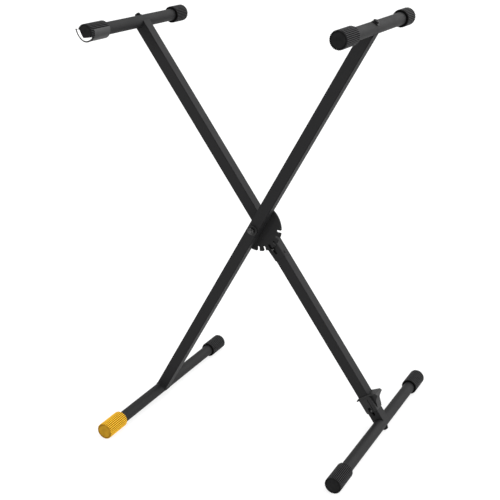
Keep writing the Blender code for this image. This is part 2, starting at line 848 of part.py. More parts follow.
def latch(frame):
    """The pin, sliders and pull rod. Their frame is the slide's: zero at the free pin, in the bar's middle."""
    upper_seat = slider("upper_slider", 0.0, SLIDER_ABOVE_PIN, SLIDER_BELOW_PIN, frame, True)
    pedal_pin_down = PEDAL_PIN_DOWN - LATCH_FREE
    lower_seat = slider(
        "lower_slider",
        pedal_pin_down,
        LOWER_SLIDER_ABOVE_PIN,
        LOWER_SLIDER_BELOW_PIN,
        frame,
        False,
    )
    rod = skin(
        [
            ring(PULL_ROD_RADIUS, -lower_seat, HIDDEN_POINTS),
            ring(PULL_ROD_RADIUS, -upper_seat, HIDDEN_POINTS),
        ]
    )
    add_piece("pull_rod", rod, frame, ZINC_PLATE)
    rear = BAR_INNER_HALF - 2 * GAP
    chamfer = LATCH_PIN_RADIUS * 0.2
    pin = skin(
        [
            ring(LATCH_PIN_RADIUS - chamfer, LATCH_TIP - BAR_CENTRE, SMALL_POINTS),
            ring(LATCH_PIN_RADIUS, LATCH_TIP - BAR_CENTRE + chamfer, SMALL_POINTS),
            ring(LATCH_PIN_RADIUS, rear, SMALL_POINTS),
        ]
    )
    add_piece("latch_pin", pin, frame, ZINC_PLATE, rotation=ALONG_Y)
    reach = PEDAL_HALF - PEDAL_PLATE_INSET
    pedal_pin = skin(
        [
            ring(LATCH_PIN_RADIUS - chamfer, -reach, SMALL_POINTS),
            ring(LATCH_PIN_RADIUS, -reach + chamfer, SMALL_POINTS),
            ring(LATCH_PIN_RADIUS, reach - chamfer, SMALL_POINTS),
            ring(LATCH_PIN_RADIUS - chamfer, reach, SMALL_POINTS),
        ]
    )
    add_piece("pedal_pin", pedal_pin, frame, ZINC_PLATE, (0.0, 0.0, -pedal_pin_down), ALONG_Y)


def foot_pedal(slide_frame):
    """The moulded sleeve with its tread. Its outlines are across and down from the pedal pin."""
    frame = add_axis("pedal_place", (0.0, 0.0, -(PEDAL_PIN_DOWN - LATCH_FREE)), parent=slide_frame)
    top = -PEDAL_BODY_ABOVE_PIN
    bottom = PEDAL_BODY_BELOW_PIN
    crown = top - PEDAL_CROWN_RISE
    band = PEDAL_HALF - PEDAL_FOOT_STEP
    body = skin(
        [
            square_ring(band, PEDAL_CORNER - PEDAL_FOOT_STEP, -bottom),
            square_ring(band, PEDAL_CORNER - PEDAL_FOOT_STEP, PEDAL_FOOT_BAND - bottom),
            square_ring(PEDAL_HALF, PEDAL_CORNER, PEDAL_FOOT_BAND - bottom + PEDAL_FOOT_STEP / 2),
            square_ring(PEDAL_HALF, PEDAL_CORNER, -top),
        ]
    )
    pedal = add_piece("foot_pedal", body, frame, BLACK_NYLON)
    in_wall = PEDAL_HALF - PEDAL_WALL / 2
    shoulder = in_wall - PEDAL_CORNER
    nose = PEDAL_TREAD_REACH
    tread_end = crown + PEDAL_TREAD_FALL
    nose_end = tread_end + PEDAL_NOSE_DROP
    thick = PEDAL_PLATE_THICKNESS
    plate = [
        (-PEDAL_LIP_REACH, crown + PEDAL_LIP_DROOP, 0.0008),
        (-shoulder, crown, 0.0030),
        (shoulder, crown, 0.0030),
        (nose - 0.0028, tread_end, 0.0030),
        (nose, nose_end, 0.0008),
        (nose - thick, nose_end - 0.0002, 0.0008),
        (nose - thick - 0.0026, tread_end + thick, 0.0020),
        (in_wall, crown + thick + 0.0010, 0),
        (in_wall, top + thick, 0),
        (-in_wall, top + thick, 0),
        (-in_wall, top, 0),
        (-PEDAL_LIP_REACH, top, 0.0006),
    ]
    plate_half = PEDAL_HALF - PEDAL_PLATE_INSET
    tread = add_cutter(
        "pedal_tread", prism(outline(plate), -plate_half, plate_half), frame, rotation=ALONG_Y
    )
    waist = PEDAL_HALF + PEDAL_GUSSET_WAIST
    gusset_outline = [
        (in_wall, crown + thick / 2, 0),
        (nose - thick - 0.0030, tread_end + thick / 2, 0),
        (nose - 0.0012, nose_end - 0.0006, 0),
        (waist, nose_end + 0.0090, 0.0090),
        (PEDAL_HALF + 0.0006, bottom - 0.0040, 0.0004),
        (in_wall, bottom - 0.0036, 0),
    ]
    gusset = add_cutter(
        "pedal_gusset",
        prism(
            outline(gusset_outline),
            -PEDAL_HALF + PEDAL_GUSSET_FRONT,
            PEDAL_HALF - PEDAL_GUSSET_REAR,
        ),
        frame,
        rotation=ALONG_Y,
    )
    bore = add_cutter(
        "pedal_bore",
        skin(
            [
                square_ring(PEDAL_BORE_HALF, BAR_CORNER, -bottom - CUT_BEYOND),
                square_ring(PEDAL_BORE_HALF, BAR_CORNER, -crown + CUT_BEYOND),
            ]
        ),
        frame,
    )
    pin_hole = drill(
        "pedal_pin_hole",
        LATCH_PIN_RADIUS + GAP,
        -PEDAL_HALF,
        PEDAL_HALF,
        frame,
        rotation=ALONG_Y,
        count=SMALL_POINTS,
    )
    notch_bottom = bottom + CUT_BEYOND
    notch_outline = [
        (-PEDAL_NOTCH_LEFT, -PEDAL_NOTCH_ABOVE_PIN, 0.0010),
        (PEDAL_NOTCH_RIGHT, -PEDAL_NOTCH_ABOVE_PIN, 0.0010),
        (PEDAL_NOTCH_RIGHT, notch_bottom, 0),
        (-PEDAL_NOTCH_LEFT, notch_bottom, 0),
    ]
    notch = add_cutter(
        "pedal_notch",
        prism(outline(notch_outline), -PEDAL_HALF - CUT_BEYOND, -PEDAL_HALF + PEDAL_WALL + CUT_BEYOND),
        frame,
        rotation=ALONG_Y,
    )
    groove_left = PEDAL_GROOVE_ACROSS - PEDAL_GROOVE_WIDTH / 2
    groove_right = PEDAL_GROOVE_ACROSS + PEDAL_GROOVE_WIDTH / 2
    groove_outline = [
        (groove_left, top + PEDAL_PLATE_THICKNESS),
        (groove_right, top + PEDAL_PLATE_THICKNESS),
        (groove_right, notch_bottom),
        (groove_left, notch_bottom),
    ]
    groove = add_cutter(
        "pedal_groove",
        prism(groove_outline, -PEDAL_HALF - CUT_BEYOND, -PEDAL_HALF + PEDAL_GROOVE_DEPTH),
        frame,
        rotation=ALONG_Y,
    )
    boolean(pedal, tread, "UNION")
    boolean(pedal, gusset, "UNION")
    for cutter in (bore, pin_hole, notch, groove):
        boolean(pedal, cutter)


def return_spring(frame):
    """The extension spring above the upper slider, drawn closed up as it is while the pin is engaged."""
    rings = []
    steps = SPRING_TURNS * SPRING_TURN_POINTS
    for step in range(steps + 1):
        turn = 2 * math.pi * step / SPRING_TURN_POINTS
        height = -(SPRING_TOP + (SPRING_BOTTOM - SPRING_TOP) * step / steps)
        outward = Vector((math.cos(turn), math.sin(turn), 0.0))
        points = []
        for index in range(SPRING_WIRE_POINTS):
            wire_turn = 2 * math.pi * index / SPRING_WIRE_POINTS
            reach = SPRING_RADIUS + SPRING_WIRE_RADIUS * math.cos(wire_turn)
            lift = SPRING_WIRE_RADIUS * math.sin(wire_turn)
            points.append((outward.x * reach, outward.y * reach, height + lift))
        rings.append(points)
    add_piece("return_spring", skin(rings), frame, SPRING_STEEL, (0.0, BAR_CENTRE, 0.0))


def build():
    """Builds the whole stand, one frame after the other."""
    clear_scene()
    pivot_point = (PIVOT_X, 0.0, PIVOT_HEIGHT)
    back_frame = add_axis("back_frame_axis", pivot_point, -HALF_ANGLE)
    front_frame = add_axis("front_frame_axis", pivot_point, HALF_ANGLE)
    latch_frame = add_axis("latch_slide_axis", (0.0, BAR_CENTRE, -LATCH_FREE), parent=back_frame)
    levelling_axis = add_axis("levelling_axis", (0.0, 0.0, -LEG_LENGTH), -HALF_ANGLE, front_frame)

    back_bar = square_bar("back_bar", BAR_CENTRE, back_frame)
    front_bar = square_bar("front_bar", -BAR_CENTRE, front_frame)
    right_foot = cross_tube("right_foot_tube", back_frame, -LEG_LENGTH, FOOT_SPAN)
    left_arm = cross_tube("left_arm_tube", back_frame, ARM_LENGTH, ARM_SPAN)
    cross_tube("left_foot_tube", front_frame, -LEG_LENGTH, FOOT_SPAN)
    right_arm = cross_tube("right_arm_tube", front_frame, ARM_LENGTH, ARM_SPAN)
    bolted_joint("right_foot", back_frame, right_foot, back_bar, BAR_CENTRE, -LEG_LENGTH)
    bolted_joint("left_arm", back_frame, left_arm, back_bar, BAR_CENTRE, ARM_LENGTH)
    bolted_joint("right_arm", front_frame, right_arm, front_bar, -BAR_CENTRE, ARM_LENGTH)
    boolean(front_bar, saddle_cutter("left_foot_saddle", front_frame, -BAR_CENTRE, -LEG_LENGTH))

    ends = (
        ("right_foot_cap", back_frame, -HALF_ANGLE, -LEG_LENGTH, FOOT_SPAN, CAP_REAR_FOOT_LENGTH),
        ("left_arm_cap", back_frame, -HALF_ANGLE, ARM_LENGTH, ARM_SPAN, CAP_REAR_ARM_LENGTH),
        ("left_foot_cap", front_frame, HALF_ANGLE, -LEG_LENGTH, FOOT_SPAN, CAP_REAR_FOOT_LENGTH),
        ("right_arm_cap", front_frame, HALF_ANGLE, ARM_LENGTH, ARM_SPAN, CAP_REAR_ARM_LENGTH),
    )
    for name, frame, turn, height, span, rear_length in ends:
        end_cap(f"{name}_rear", frame, turn, height, span, rear_length, 1)
        if name != "left_foot_cap":
            end_cap(f"{name}_front", frame, turn, height, span, CAP_FRONT_LENGTH, -1)
    ribbed_cap(
        "levelling_cap",
        LEVELLING_LENGTH,
        LEVELLING_RADIUS,
        LEVELLING_RIB_COUNT,
        levelling_axis,
        YELLOW_RUBBER,
        (0.0, -(FOOT_SPAN / 2 - LEVELLING_LENGTH), 0.0),
        (math.pi / 2, 0.0, 0.0),
        (-LEVELLING_SIDE_OFFSET, LEVELLING_RISE),
    )

    pivot(back_frame, front_frame)
    lock_disc(front_frame)
    latch_bracket(back_frame, back_bar)
    latch_slots(back_frame, back_bar)
    latch(latch_frame)
    foot_pedal(latch_frame)
    return_spring(back_frame)


build()
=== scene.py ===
# %% [markdown]
# A folding keyboard stand: two square steel bars that cross on one bolt, with round feet and
# arms. The solids of the model are loaded first, as a fixed frame. They already have the real
# sizes, so this lesson gives each of them its finish and adds the finer pieces that a solid is
# too coarse for: the rounded ribs of the rubber caps, bolts with real sockets and threads, curved
# washers, weld beads and a bare label.

# %% Load the frame
import json
import math

import bmesh
import bpy
import numpy as np
from mathutils import Matrix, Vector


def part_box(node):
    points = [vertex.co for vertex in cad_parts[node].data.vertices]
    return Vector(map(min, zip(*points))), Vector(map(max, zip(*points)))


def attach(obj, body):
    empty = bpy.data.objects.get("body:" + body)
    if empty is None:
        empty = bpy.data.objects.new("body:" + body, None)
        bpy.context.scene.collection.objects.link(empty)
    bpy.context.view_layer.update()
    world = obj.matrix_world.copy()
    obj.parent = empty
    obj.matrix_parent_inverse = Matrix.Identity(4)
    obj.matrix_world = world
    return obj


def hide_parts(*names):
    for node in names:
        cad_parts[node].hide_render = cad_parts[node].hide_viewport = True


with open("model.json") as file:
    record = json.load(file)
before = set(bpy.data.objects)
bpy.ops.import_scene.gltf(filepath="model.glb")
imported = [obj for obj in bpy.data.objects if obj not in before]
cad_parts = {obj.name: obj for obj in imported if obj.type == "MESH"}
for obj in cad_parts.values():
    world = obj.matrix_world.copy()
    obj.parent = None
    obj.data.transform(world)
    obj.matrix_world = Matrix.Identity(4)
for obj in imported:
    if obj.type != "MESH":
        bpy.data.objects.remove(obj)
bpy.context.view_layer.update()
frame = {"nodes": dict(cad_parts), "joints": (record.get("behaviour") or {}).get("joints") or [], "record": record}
nodes = frame["nodes"]

# %% [markdown]
# The stand has two frames that turn about one pivot. Positions on a bar are easiest to give in
# the bar's own directions: across the bar, along Y, and down the bar from the pivot. The pivot
# and the tubes' places are read from the frame's boxes, so that nothing here has to be kept in
# step by hand.

# %% Places and directions
MM = 0.001
HALF_ANGLE = math.radians(32.5)


def middle(name):
    """The centre of a solid's box, as an array."""
    low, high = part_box(name)
    return (np.array(low) + np.array(high)) / 2


fold = next(joint for joint in frame["joints"] if joint["name"] == "fold")
pivot = np.array(fold["pos_m"], float)
foot_axis = {"left": middle("left_foot_tube"), "right": middle("right_foot_tube")}
arm_axis = {"left": middle("left_arm_tube"), "right": middle("right_arm_tube")}
foot_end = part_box("right_foot_cap_rear")[1][1]
arm_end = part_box("right_arm_cap_rear")[1][1]
back_up = np.array([-math.sin(HALF_ANGLE), 0.0, math.cos(HALF_ANGLE)])
front_up = np.array([math.sin(HALF_ANGLE), 0.0, math.cos(HALF_ANGLE)])
back_side = np.array([math.cos(HALF_ANGLE), 0.0, math.sin(HALF_ANGLE)])
front_side = np.array([math.cos(HALF_ANGLE), 0.0, -math.sin(HALF_ANGLE)])
ACROSS = np.array([0.0, 1.0, 0.0])
print("pivot at", pivot.round(4))
print("feet at x", foot_axis["left"][0].round(4), "and", foot_axis["right"][0].round(4))

# %% [markdown]
# The camera stands to the right of the stand and above it, about two metres away. It was placed
# by solving for the view in which the edges of the bars and tubes fall where they do in the
# photograph. The photograph is a crop of a wider frame, which the small sideways shift repeats.

# %% Camera
CAMERA_FROM_PIVOT = np.array([0.9495, -1.7519, 0.6542])
CAMERA_YAW = math.radians(26.77)
CAMERA_PITCH = math.radians(19.73)
CAMERA_ROLL = math.radians(-2.23)
PICTURE_PIXELS = 500
FOCAL_PIXELS = 982.0
SENSOR_WIDTH = 36.0
OFF_CENTRE_RIGHT_PIXELS = 37.5
OFF_CENTRE_DOWN_PIXELS = 1.4
NEAREST_DRAWN = 0.05
FARTHEST_DRAWN = 50.0

looking = np.array(
    [
        -math.sin(CAMERA_YAW) * math.cos(CAMERA_PITCH),
        math.cos(CAMERA_YAW) * math.cos(CAMERA_PITCH),
        -math.sin(CAMERA_PITCH),
    ]
)
level_right = np.array([math.cos(CAMERA_YAW), math.sin(CAMERA_YAW), 0.0])
level_up = np.cross(level_right, looking)
right = math.cos(CAMERA_ROLL) * level_right + math.sin(CAMERA_ROLL) * level_up
up = math.cos(CAMERA_ROLL) * level_up - math.sin(CAMERA_ROLL) * level_right
camera_place = np.eye(4)
camera_place[:3, 0] = right
camera_place[:3, 1] = up
camera_place[:3, 2] = -looking
camera_place[:3, 3] = pivot + CAMERA_FROM_PIVOT

lens = bpy.data.cameras.new("studio_camera")
lens.sensor_width = SENSOR_WIDTH
lens.lens = FOCAL_PIXELS / PICTURE_PIXELS * SENSOR_WIDTH
lens.shift_x = -OFF_CENTRE_RIGHT_PIXELS / PICTURE_PIXELS
lens.shift_y = OFF_CENTRE_DOWN_PIXELS / PICTURE_PIXELS
lens.clip_start = NEAREST_DRAWN
lens.clip_end = FARTHEST_DRAWN
camera = bpy.data.objects.new("studio_camera", lens)
camera.matrix_world = Matrix(camera_place.tolist())
bpy.context.collection.objects.link(camera)
bpy.context.scene.camera = camera
print("lens in mm:", round(lens.lens, 1))
print("camera to pivot in metres:", round(float(np.linalg.norm(CAMERA_FROM_PIVOT)), 3))

# %% [markdown]
# A new piece here is a grid of points worked out as one array, rows along the piece and columns
# round it. One function turns such a grid into a closed mesh, and every piece then rides on the
# body that it is fixed to, so that it turns and slides with it.

# %% From a grid of points to a piece
PIECE_SHARP_ABOVE = math.radians(40.0)


def close_grid(grid, rows_join=False):
    """Vertices and faces of a grid whose columns close round it.

    Row r, column c meets row r, column c + 1 and the same two columns of row r + 1. The first
    and last rows either join each other or each become one flat face."""
    rows, columns = grid.shape[:2]
    index = np.arange(rows * columns).reshape(rows, columns)
    below = index if rows_join else index[:-1]
    above = np.roll(index, -1, axis=0) if rows_join else index[1:]
    quads = np.stack(
        [below, np.roll(below, -1, axis=1), np.roll(above, -1, axis=1), above], axis=-1
    ).reshape(-1, 4)
    faces = quads.tolist()
    if not rows_join:
        faces.append(index[0][::-1].tolist())
        faces.append(index[-1].tolist())
    return grid.reshape(-1, 3), faces


def signed_volume(points, faces):
    """Six times the volume that the faces enclose: positive when they point outwards."""
    total = 0.0
    for face in faces:
        corners = points[face]
        fan = np.cross(corners[1:-1], corners[2:])
        total += float((fan @ corners[0]).sum())
    return total


def make_piece(name, grid, body, material, replaced=(), rows_join=False):
    """A finished mesh object made from a grid: outward faces, smooth shading, riding on a body."""
    points, faces = close_grid(np.asarray(grid, float), rows_join)
    if signed_volume(points - points.mean(axis=0), faces) < 0:
        faces = [face[::-1] for face in faces]
    mesh = bpy.data.meshes.new(name)
    mesh.from_pydata(points.tolist(), [], faces)
    mesh.shade_smooth()
    mesh.set_sharp_from_angle(angle=PIECE_SHARP_ABOVE)
    mesh.materials.append(material)
    piece = bpy.data.objects.new(name, mesh)
    bpy.context.collection.objects.link(piece)
    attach(piece, body)
    if replaced:
        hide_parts(*replaced)
    print(name, "faces:", len(faces), "on", body)
    return piece


print("faces of a grid of two rows and four columns:", len(close_grid(np.zeros((2, 4, 3)))[1]))

# %% [markdown]
# Colours are written as the hex values that an eye would pick from a screen, and one function
# turns them to the linear values that shaders work in. One more function adds a shader node with
# its settings and links, which keeps each material short enough to read.

# %% Colour and node helpers


def linear(hex_colour):
    """sRGB hex to linear red, green, blue and alpha: each channel is undone by the sRGB curve."""
    channels = np.array([int(hex_colour[start : start + 2], 16) for start in (1, 3, 5)]) / 255
    undone = np.where(channels <= 0.04045, channels / 12.92, ((channels + 0.055) / 1.055) ** 2.4)
    return (*undone.tolist(), 1.0)


def add_node(tree, kind, settings=None, links=None):
    """One node. Settings go to its sockets or properties, and links join its sockets to outputs."""
    made = tree.nodes.new(kind)
    for key, value in (settings or {}).items():
        if isinstance(key, int) or key in made.inputs:
            made.inputs[key].default_value = value
        else:
            setattr(made, key, value)
    for key, output in (links or {}).items():
        tree.links.new(output, made.inputs[key])
    return made


def start_material(name, **sockets):
    """A material whose Principled shader has these constant sockets, and object coordinates."""
    material = bpy.data.materials.new(name)
    material.use_nodes = True
    tree = material.node_tree
    shader = tree.nodes["Principled BSDF"]
    for socket, value in sockets.items():
        shader.inputs[socket.replace("_", " ")].default_value = value
    coordinates = add_node(tree, "ShaderNodeTexCoord").outputs["Object"]
    return material, tree, shader, coordinates


def mottle(tree, shader, coordinates, size, colours, roughness):
    """Slow changes of colour and roughness: one noise with patches as wide as the size in metres.

    A noise seldom leaves the range from 0.3 to 0.7, so that range takes the whole change."""
    noise = add_node(
        tree, "ShaderNodeTexNoise", {"Scale": 1 / size, "Detail": 3.0}, {"Vector": coordinates}
    )
    ramp = add_node(tree, "ShaderNodeValToRGB", links={"Fac": noise.outputs["Fac"]})
    for element, colour, position in zip(ramp.color_ramp.elements, colours, (0.35, 0.65)):
        element.position, element.color = position, linear(colour)
    tree.links.new(ramp.outputs["Color"], shader.inputs["Base Color"])
    shine = add_node(
        tree,
        "ShaderNodeMapRange",
        {"From Min": 0.3, "From Max": 0.7, "To Min": roughness[0], "To Max": roughness[1]},
        {"Value": noise.outputs["Fac"]},
    )
    tree.links.new(shine.outputs["Result"], shader.inputs["Roughness"])


def grain(tree, shader, coordinates, size, height):
    """A fine raised texture: a noise with grains of the given size, as a bump of that height."""
    noise = add_node(
        tree, "ShaderNodeTexNoise", {"Scale": 1 / size, "Detail": 2.0}, {"Vector": coordinates}
    )
    bump = add_node(
        tree,
        "ShaderNodeBump",
        {"Strength": 1.0, "Distance": height},
        {"Height": noise.outputs["Fac"]},
    )
    tree.links.new(bump.outputs["Normal"], shader.inputs["Normal"])


print("middle grey of the screen in linear light:", round(linear("#808080")[0], 3))

# %% [markdown]
# The bars, tubes, disc and bracket are steel with a black powder coat. The powder melts and flows
# before it sets, which leaves an even satin black with a faint orange peel. A fine-textured
# powder was used here, so it shines less than a smooth one, even when it is seen at a low angle.
# The real waves are about one millimetre wide, too fine for this picture, so they are drawn twice
# as wide.

# %% Powder coat


def black_powder_coat():
    """Powder-coated steel: satin black, low waves, a slight change of sheen along the bars."""
    material, tree, shader, coordinates = start_material("powder_coated_steel", IOR=1.30)
    mottle(tree, shader, coordinates, 45 * MM, ("#101011", "#151516"), (0.60, 0.70))
    grain(tree, shader, coordinates, 2.0 * MM, 0.05 * MM)
    return material


POWDER_COAT = black_powder_coat()
print("finish:", POWDER_COAT.name)

# %% [markdown]
# The end caps are moulded rubber: black on the arms and on three of the feet, and yellow on the
# cap that levels the stand. Rubber comes out of its mould matt. The grooves of the ribs are painted
# dark as painted shade, and the crowns are paler and a little smoother. Each cap's mesh therefore
# carries a painted shade number that is 1 on a crown and 0 in a groove. The mould's own grain is a
# few tenths of a millimetre; it is drawn at nine tenths so that it shows.

# %% Moulded rubber
GROOVE_ROUGHNESS = 0.78
CROWN_ROUGHNESS = 0.52
WEAR_CHANGE = 0.30
WEAR_PATCH = 9 * MM


def moulded_rubber(name, colours):
    """Matt rubber: painted shade from groove to crown by the mesh's painted shade number, plus a little noise."""
    material, tree, shader, coordinates = start_material(name, IOR=1.18)
    # Painted shade: the mesh's number is 0 in a groove and 1 on a crown, and it darkens the grooves.
    painted_rib_shade = add_node(tree, "ShaderNodeAttribute", {"attribute_name": "painted_rib_shade"}).outputs["Fac"]
    noise = add_node(
        tree,
        "ShaderNodeTexNoise",
        {"Scale": 1 / WEAR_PATCH, "Detail": 3.0},
        {"Vector": coordinates},
    )
    change = add_node(
        tree,
        "ShaderNodeMath",
        {"operation": "MULTIPLY_ADD", 1: WEAR_CHANGE, 2: -WEAR_CHANGE / 2},
        {0: noise.outputs["Fac"]},
    )
    # Painted shade from the mesh's number, plus a random change of tone from the noise.
    painted_shade_and_wear = add_node(
        tree, "ShaderNodeMath", {"operation": "ADD"}, {0: painted_rib_shade, 1: change.outputs["Value"]}
    ).outputs["Value"]
    ramp = add_node(tree, "ShaderNodeValToRGB", links={"Fac": painted_shade_and_wear})
    for element, colour, position in zip(ramp.color_ramp.elements, colours, (0.08, 0.95)):
        element.position, element.color = position, linear(colour)
    tree.links.new(ramp.outputs["Color"], shader.inputs["Base Color"])
    shine = add_node(
        tree,
        "ShaderNodeMapRange",
        {"To Min": GROOVE_ROUGHNESS, "To Max": CROWN_ROUGHNESS},
        {"Value": painted_shade_and_wear},
    )
    tree.links.new(shine.outputs["Result"], shader.inputs["Roughness"])
    grain(tree, shader, coordinates, 0.9 * MM, 0.04 * MM)
    return material


# For each cap, the first colour is the painted shade of its grooves and the second is the colour of its crowns.
BLACK_RUBBER = moulded_rubber("black_moulded_rubber", ("#020202", "#313132"))
YELLOW_RUBBER = moulded_rubber("yellow_moulded_rubber", ("#7a560a", "#eab62e"))
print("finishes:", BLACK_RUBBER.name, YELLOW_RUBBER.name)

# %% [markdown]
# The pedal, the blocks inside the bar, the plugs and the pivot washers are moulded black nylon.
# It is a little glossier than rubber. Its spark-eroded grain is about half a millimetre wide and
# is drawn at 1.2 mm, because the real one would be lost at this picture's size.

# %% Moulded nylon


def moulded_nylon():
    """Black nylon from a spark-eroded mould: even, slightly shiny, finely grained."""
    material, tree, shader, coordinates = start_material("black_moulded_nylon", IOR=1.40)
    mottle(tree, shader, coordinates, 25 * MM, ("#0b0b0c", "#111112"), (0.50, 0.58))
    grain(tree, shader, coordinates, 1.2 * MM, 0.03 * MM)
    return material


BLACK_NYLON = moulded_nylon()
print("finish:", BLACK_NYLON.name)

# %% [markdown]
# The pivot bolt, its nut, washers, pins and the pull rod are steel with a thin layer of zinc that
# was turned black in a bath. What is left is a dark metal with a soft shine, and the bath leaves
# it uneven in small patches. The domed bolts of the cross tubes are blackened without zinc and
# are darker still. The return spring is drawn wire with a film of oil. Rolling and drawing leave
# a very low unevenness under all of them, about a hundredth of a millimetre high.

# %% Plated steel


def dark_metal(name, colours, roughness, patch):
    """A metal whose colour and roughness drift in soft patches, as a bath or a die leaves it."""
    material, tree, shader, coordinates = start_material(name, Metallic=1.0)
    mottle(tree, shader, coordinates, patch, colours, roughness)
    grain(tree, shader, coordinates, 0.8 * MM, 0.01 * MM)
    return material


ZINC_PLATE = dark_metal("black_zinc_plated_steel", ("#404040", "#565656"), (0.24, 0.38), 6 * MM)
BLACKENED_STEEL = dark_metal("blackened_bolt_steel", ("#1a1a1b", "#252526"), (0.34, 0.46), 5 * MM)
SPRING_WIRE = dark_metal("oiled_spring_wire", ("#6d6e70", "#86878a"), (0.30, 0.42), 4 * MM)
print("finishes:", ZINC_PLATE.name, BLACKENED_STEEL.name, SPRING_WIRE.name)

# %% [markdown]
# Each solid that stays in the picture takes the material of its slot in the record. No real edge
# is perfectly sharp: powder fills a corner, a mould leaves a small radius and a file breaks a cut
# edge. Modifiers do this without touching the solid's own mesh. The loose triangles are welded,
# flat areas become single faces, a narrow bevel breaks the edges, and a small node group shades
# the rest smooth.

# %% Which finish and which edge a solid gets
SHARP_ABOVE = math.radians(50.0)
FLAT_BELOW = math.radians(0.5)
SAME_POINT = 0.002 * MM
FINISH_OF_SLOT = {
    "black_frame": POWDER_COAT,
    "black_cap": BLACK_RUBBER,
    "yellow_cap": YELLOW_RUBBER,
    "black_moulding": BLACK_NYLON,
    "zinc_hardware": ZINC_PLATE,
    "spring_wire": SPRING_WIRE,
}
EDGE_WIDTH = {
    "foot_pedal": 0.5 * MM,
    "lock_disc": 0.4 * MM,
    "latch_bracket": 0.35 * MM,
    "pivot_washer_front": 0.3 * MM,
    "pivot_washer_rear": 0.2 * MM,
    "pivot_spacer": 0.3 * MM,
}
print("finishes:", len(FINISH_OF_SLOT), "broken edges:", len(EDGE_WIDTH))

# %% [markdown]
# A round solid is drawn as flat strips. Smooth shading hides where two strips meet at a shallow
# angle, and a real edge has to stay sharp. A node group does this live, and every solid can share
# it.

# %% Smooth shading as a node group


def smooth_round_faces():
    """A node group: every face smooth, then each edge sharp again that is over the limit."""
    group = bpy.data.node_groups.new("smooth_round_faces", "GeometryNodeTree")
    group.interface.new_socket("Geometry", in_out="INPUT", socket_type="NodeSocketGeometry")
    group.interface.new_socket("Geometry", in_out="OUTPUT", socket_type="NodeSocketGeometry")
    given = add_node(group, "NodeGroupInput").outputs[0]
    bare = add_node(
        group, "GeometryNodeRemoveAttribute", {"Name": "custom_normal"}, {0: given}
    ).outputs[0]
    smooth = add_node(group, "GeometryNodeSetShadeSmooth", {2: True}, {0: bare}).outputs[0]
    angle = add_node(group, "GeometryNodeInputMeshEdgeAngle").outputs[0]
    sharp = add_node(
        group, "FunctionNodeCompare", {"operation": "GREATER_THAN", 1: SHARP_ABOVE}, {0: angle}
    ).outputs[0]
    done = add_node(
        group, "GeometryNodeSetShadeSmooth", {"domain": "EDGE", 2: False}, {0: smooth, 1: sharp}
    ).outputs[0]
    add_node(group, "NodeGroupOutput", links={0: done})
    return group


SHADING = smooth_round_faces()
print("nodes in the shading group:", len(SHADING.nodes))

# %% [markdown]
# The order of the modifiers matters: triangles are merged before a flat area can become one face,
# and only then is there a clean edge to bevel.

# %% Finish every solid


def finish_solid(node, edge):
    """Weld, flatten, bevel where an edge width is given, and shade smooth: all as modifiers.

    The last one leans each corner's shading towards its largest face, so that a flat side
    stays even."""
    weld = node.modifiers.new("weld_triangles", "WELD")
    weld.merge_threshold = SAME_POINT
    if edge:
        flat = node.modifiers.new("flat_faces", "DECIMATE")
        flat.decimate_type = "DISSOLVE"
        flat.angle_limit = FLAT_BELOW
        bevel = node.modifiers.new("broken_edges", "BEVEL")
        bevel.width = edge
        bevel.segments = 2
        bevel.limit_method = "ANGLE"
        bevel.angle_limit = SHARP_ABOVE
        bevel.use_clamp_overlap = True
    node.modifiers.new("smooth", "NODES").node_group = SHADING
    if edge:
        even = node.modifiers.new("even_flat_faces", "WEIGHTED_NORMAL")
        even.keep_sharp = True


slot_of_node = {part["node"]: part["material_slot"] for part in frame["record"]["subparts"]}
for name, node in nodes.items():
    for material_slot in node.material_slots:
        material_slot.material = FINISH_OF_SLOT[slot_of_node[name]]
    finish_solid(node, EDGE_WIDTH.get(name))
print("finished solids:", len(nodes))

# %% [markdown]
# Square tube is rolled from strip, and its corners are tighter than the solids' coarse arcs show.
# Each bar is a merged copy of its solid whose corner points are moved out to a smaller arc. The
# direction from the arc's centre stays, so the flat sides, the slots and the ends aren't touched.

# %% Bars with tighter corners
BAR_HALF = 12.6 * MM
SOLID_CORNER = 2.5 * MM
ROLLED_CORNER = 1.1 * MM
ARC_TOLERANCE = 0.05 * MM
CUT_EDGE = 0.2 * MM


def tightened(distance, share):
    """A distance from the bar's middle, moved onto the smaller arc, at a share of its radius."""
    return np.sign(distance) * (BAR_HALF - ROLLED_CORNER + ROLLED_CORNER * share)


def rolled_bar(node_name, sideways, body):
    """The bar as a merged copy with tighter corners.

    A point is moved where it is one corner radius from the centre of the solid's arc."""
    whole = bmesh.new()
    whole.from_mesh(nodes[node_name].data)
    bmesh.ops.remove_doubles(whole, verts=whole.verts, dist=SAME_POINT)
    mesh = bpy.data.meshes.new(f"rolled_{node_name}")
    whole.to_mesh(mesh)
    whole.free()
    flat = np.empty(len(mesh.vertices) * 3)
    mesh.vertices.foreach_get("co", flat)
    points = flat.reshape(-1, 3)
    across = (points - pivot) @ sideways
    deep = points[:, 1] - middle(node_name)[1]
    past_across = np.abs(across) - (BAR_HALF - SOLID_CORNER)
    past_deep = np.abs(deep) - (BAR_HALF - SOLID_CORNER)
    on_arc = (
        (past_across > -ARC_TOLERANCE)
        & (past_deep > -ARC_TOLERANCE)
        & (np.abs(np.hypot(past_across, past_deep) - SOLID_CORNER) < ARC_TOLERANCE)
    )
    move_across = tightened(across, past_across / SOLID_CORNER) - across
    move_deep = tightened(deep, past_deep / SOLID_CORNER) - deep
    points[on_arc] += move_across[on_arc, None] * sideways + move_deep[on_arc, None] * ACROSS
    mesh.vertices.foreach_set("co", points.ravel())
    mesh.materials.clear()
    mesh.materials.append(POWDER_COAT)
    bar = bpy.data.objects.new(f"rolled_{node_name}", mesh)
    bpy.context.collection.objects.link(bar)
    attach(bar, body)
    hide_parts(node_name)
    finish_solid(bar, CUT_EDGE)
    print(bar.name, "corner points moved:", int(on_arc.sum()), "of", len(points))


rolled_bar("front_bar", front_side, "front_frame")
rolled_bar("back_bar", back_side, "back_frame")

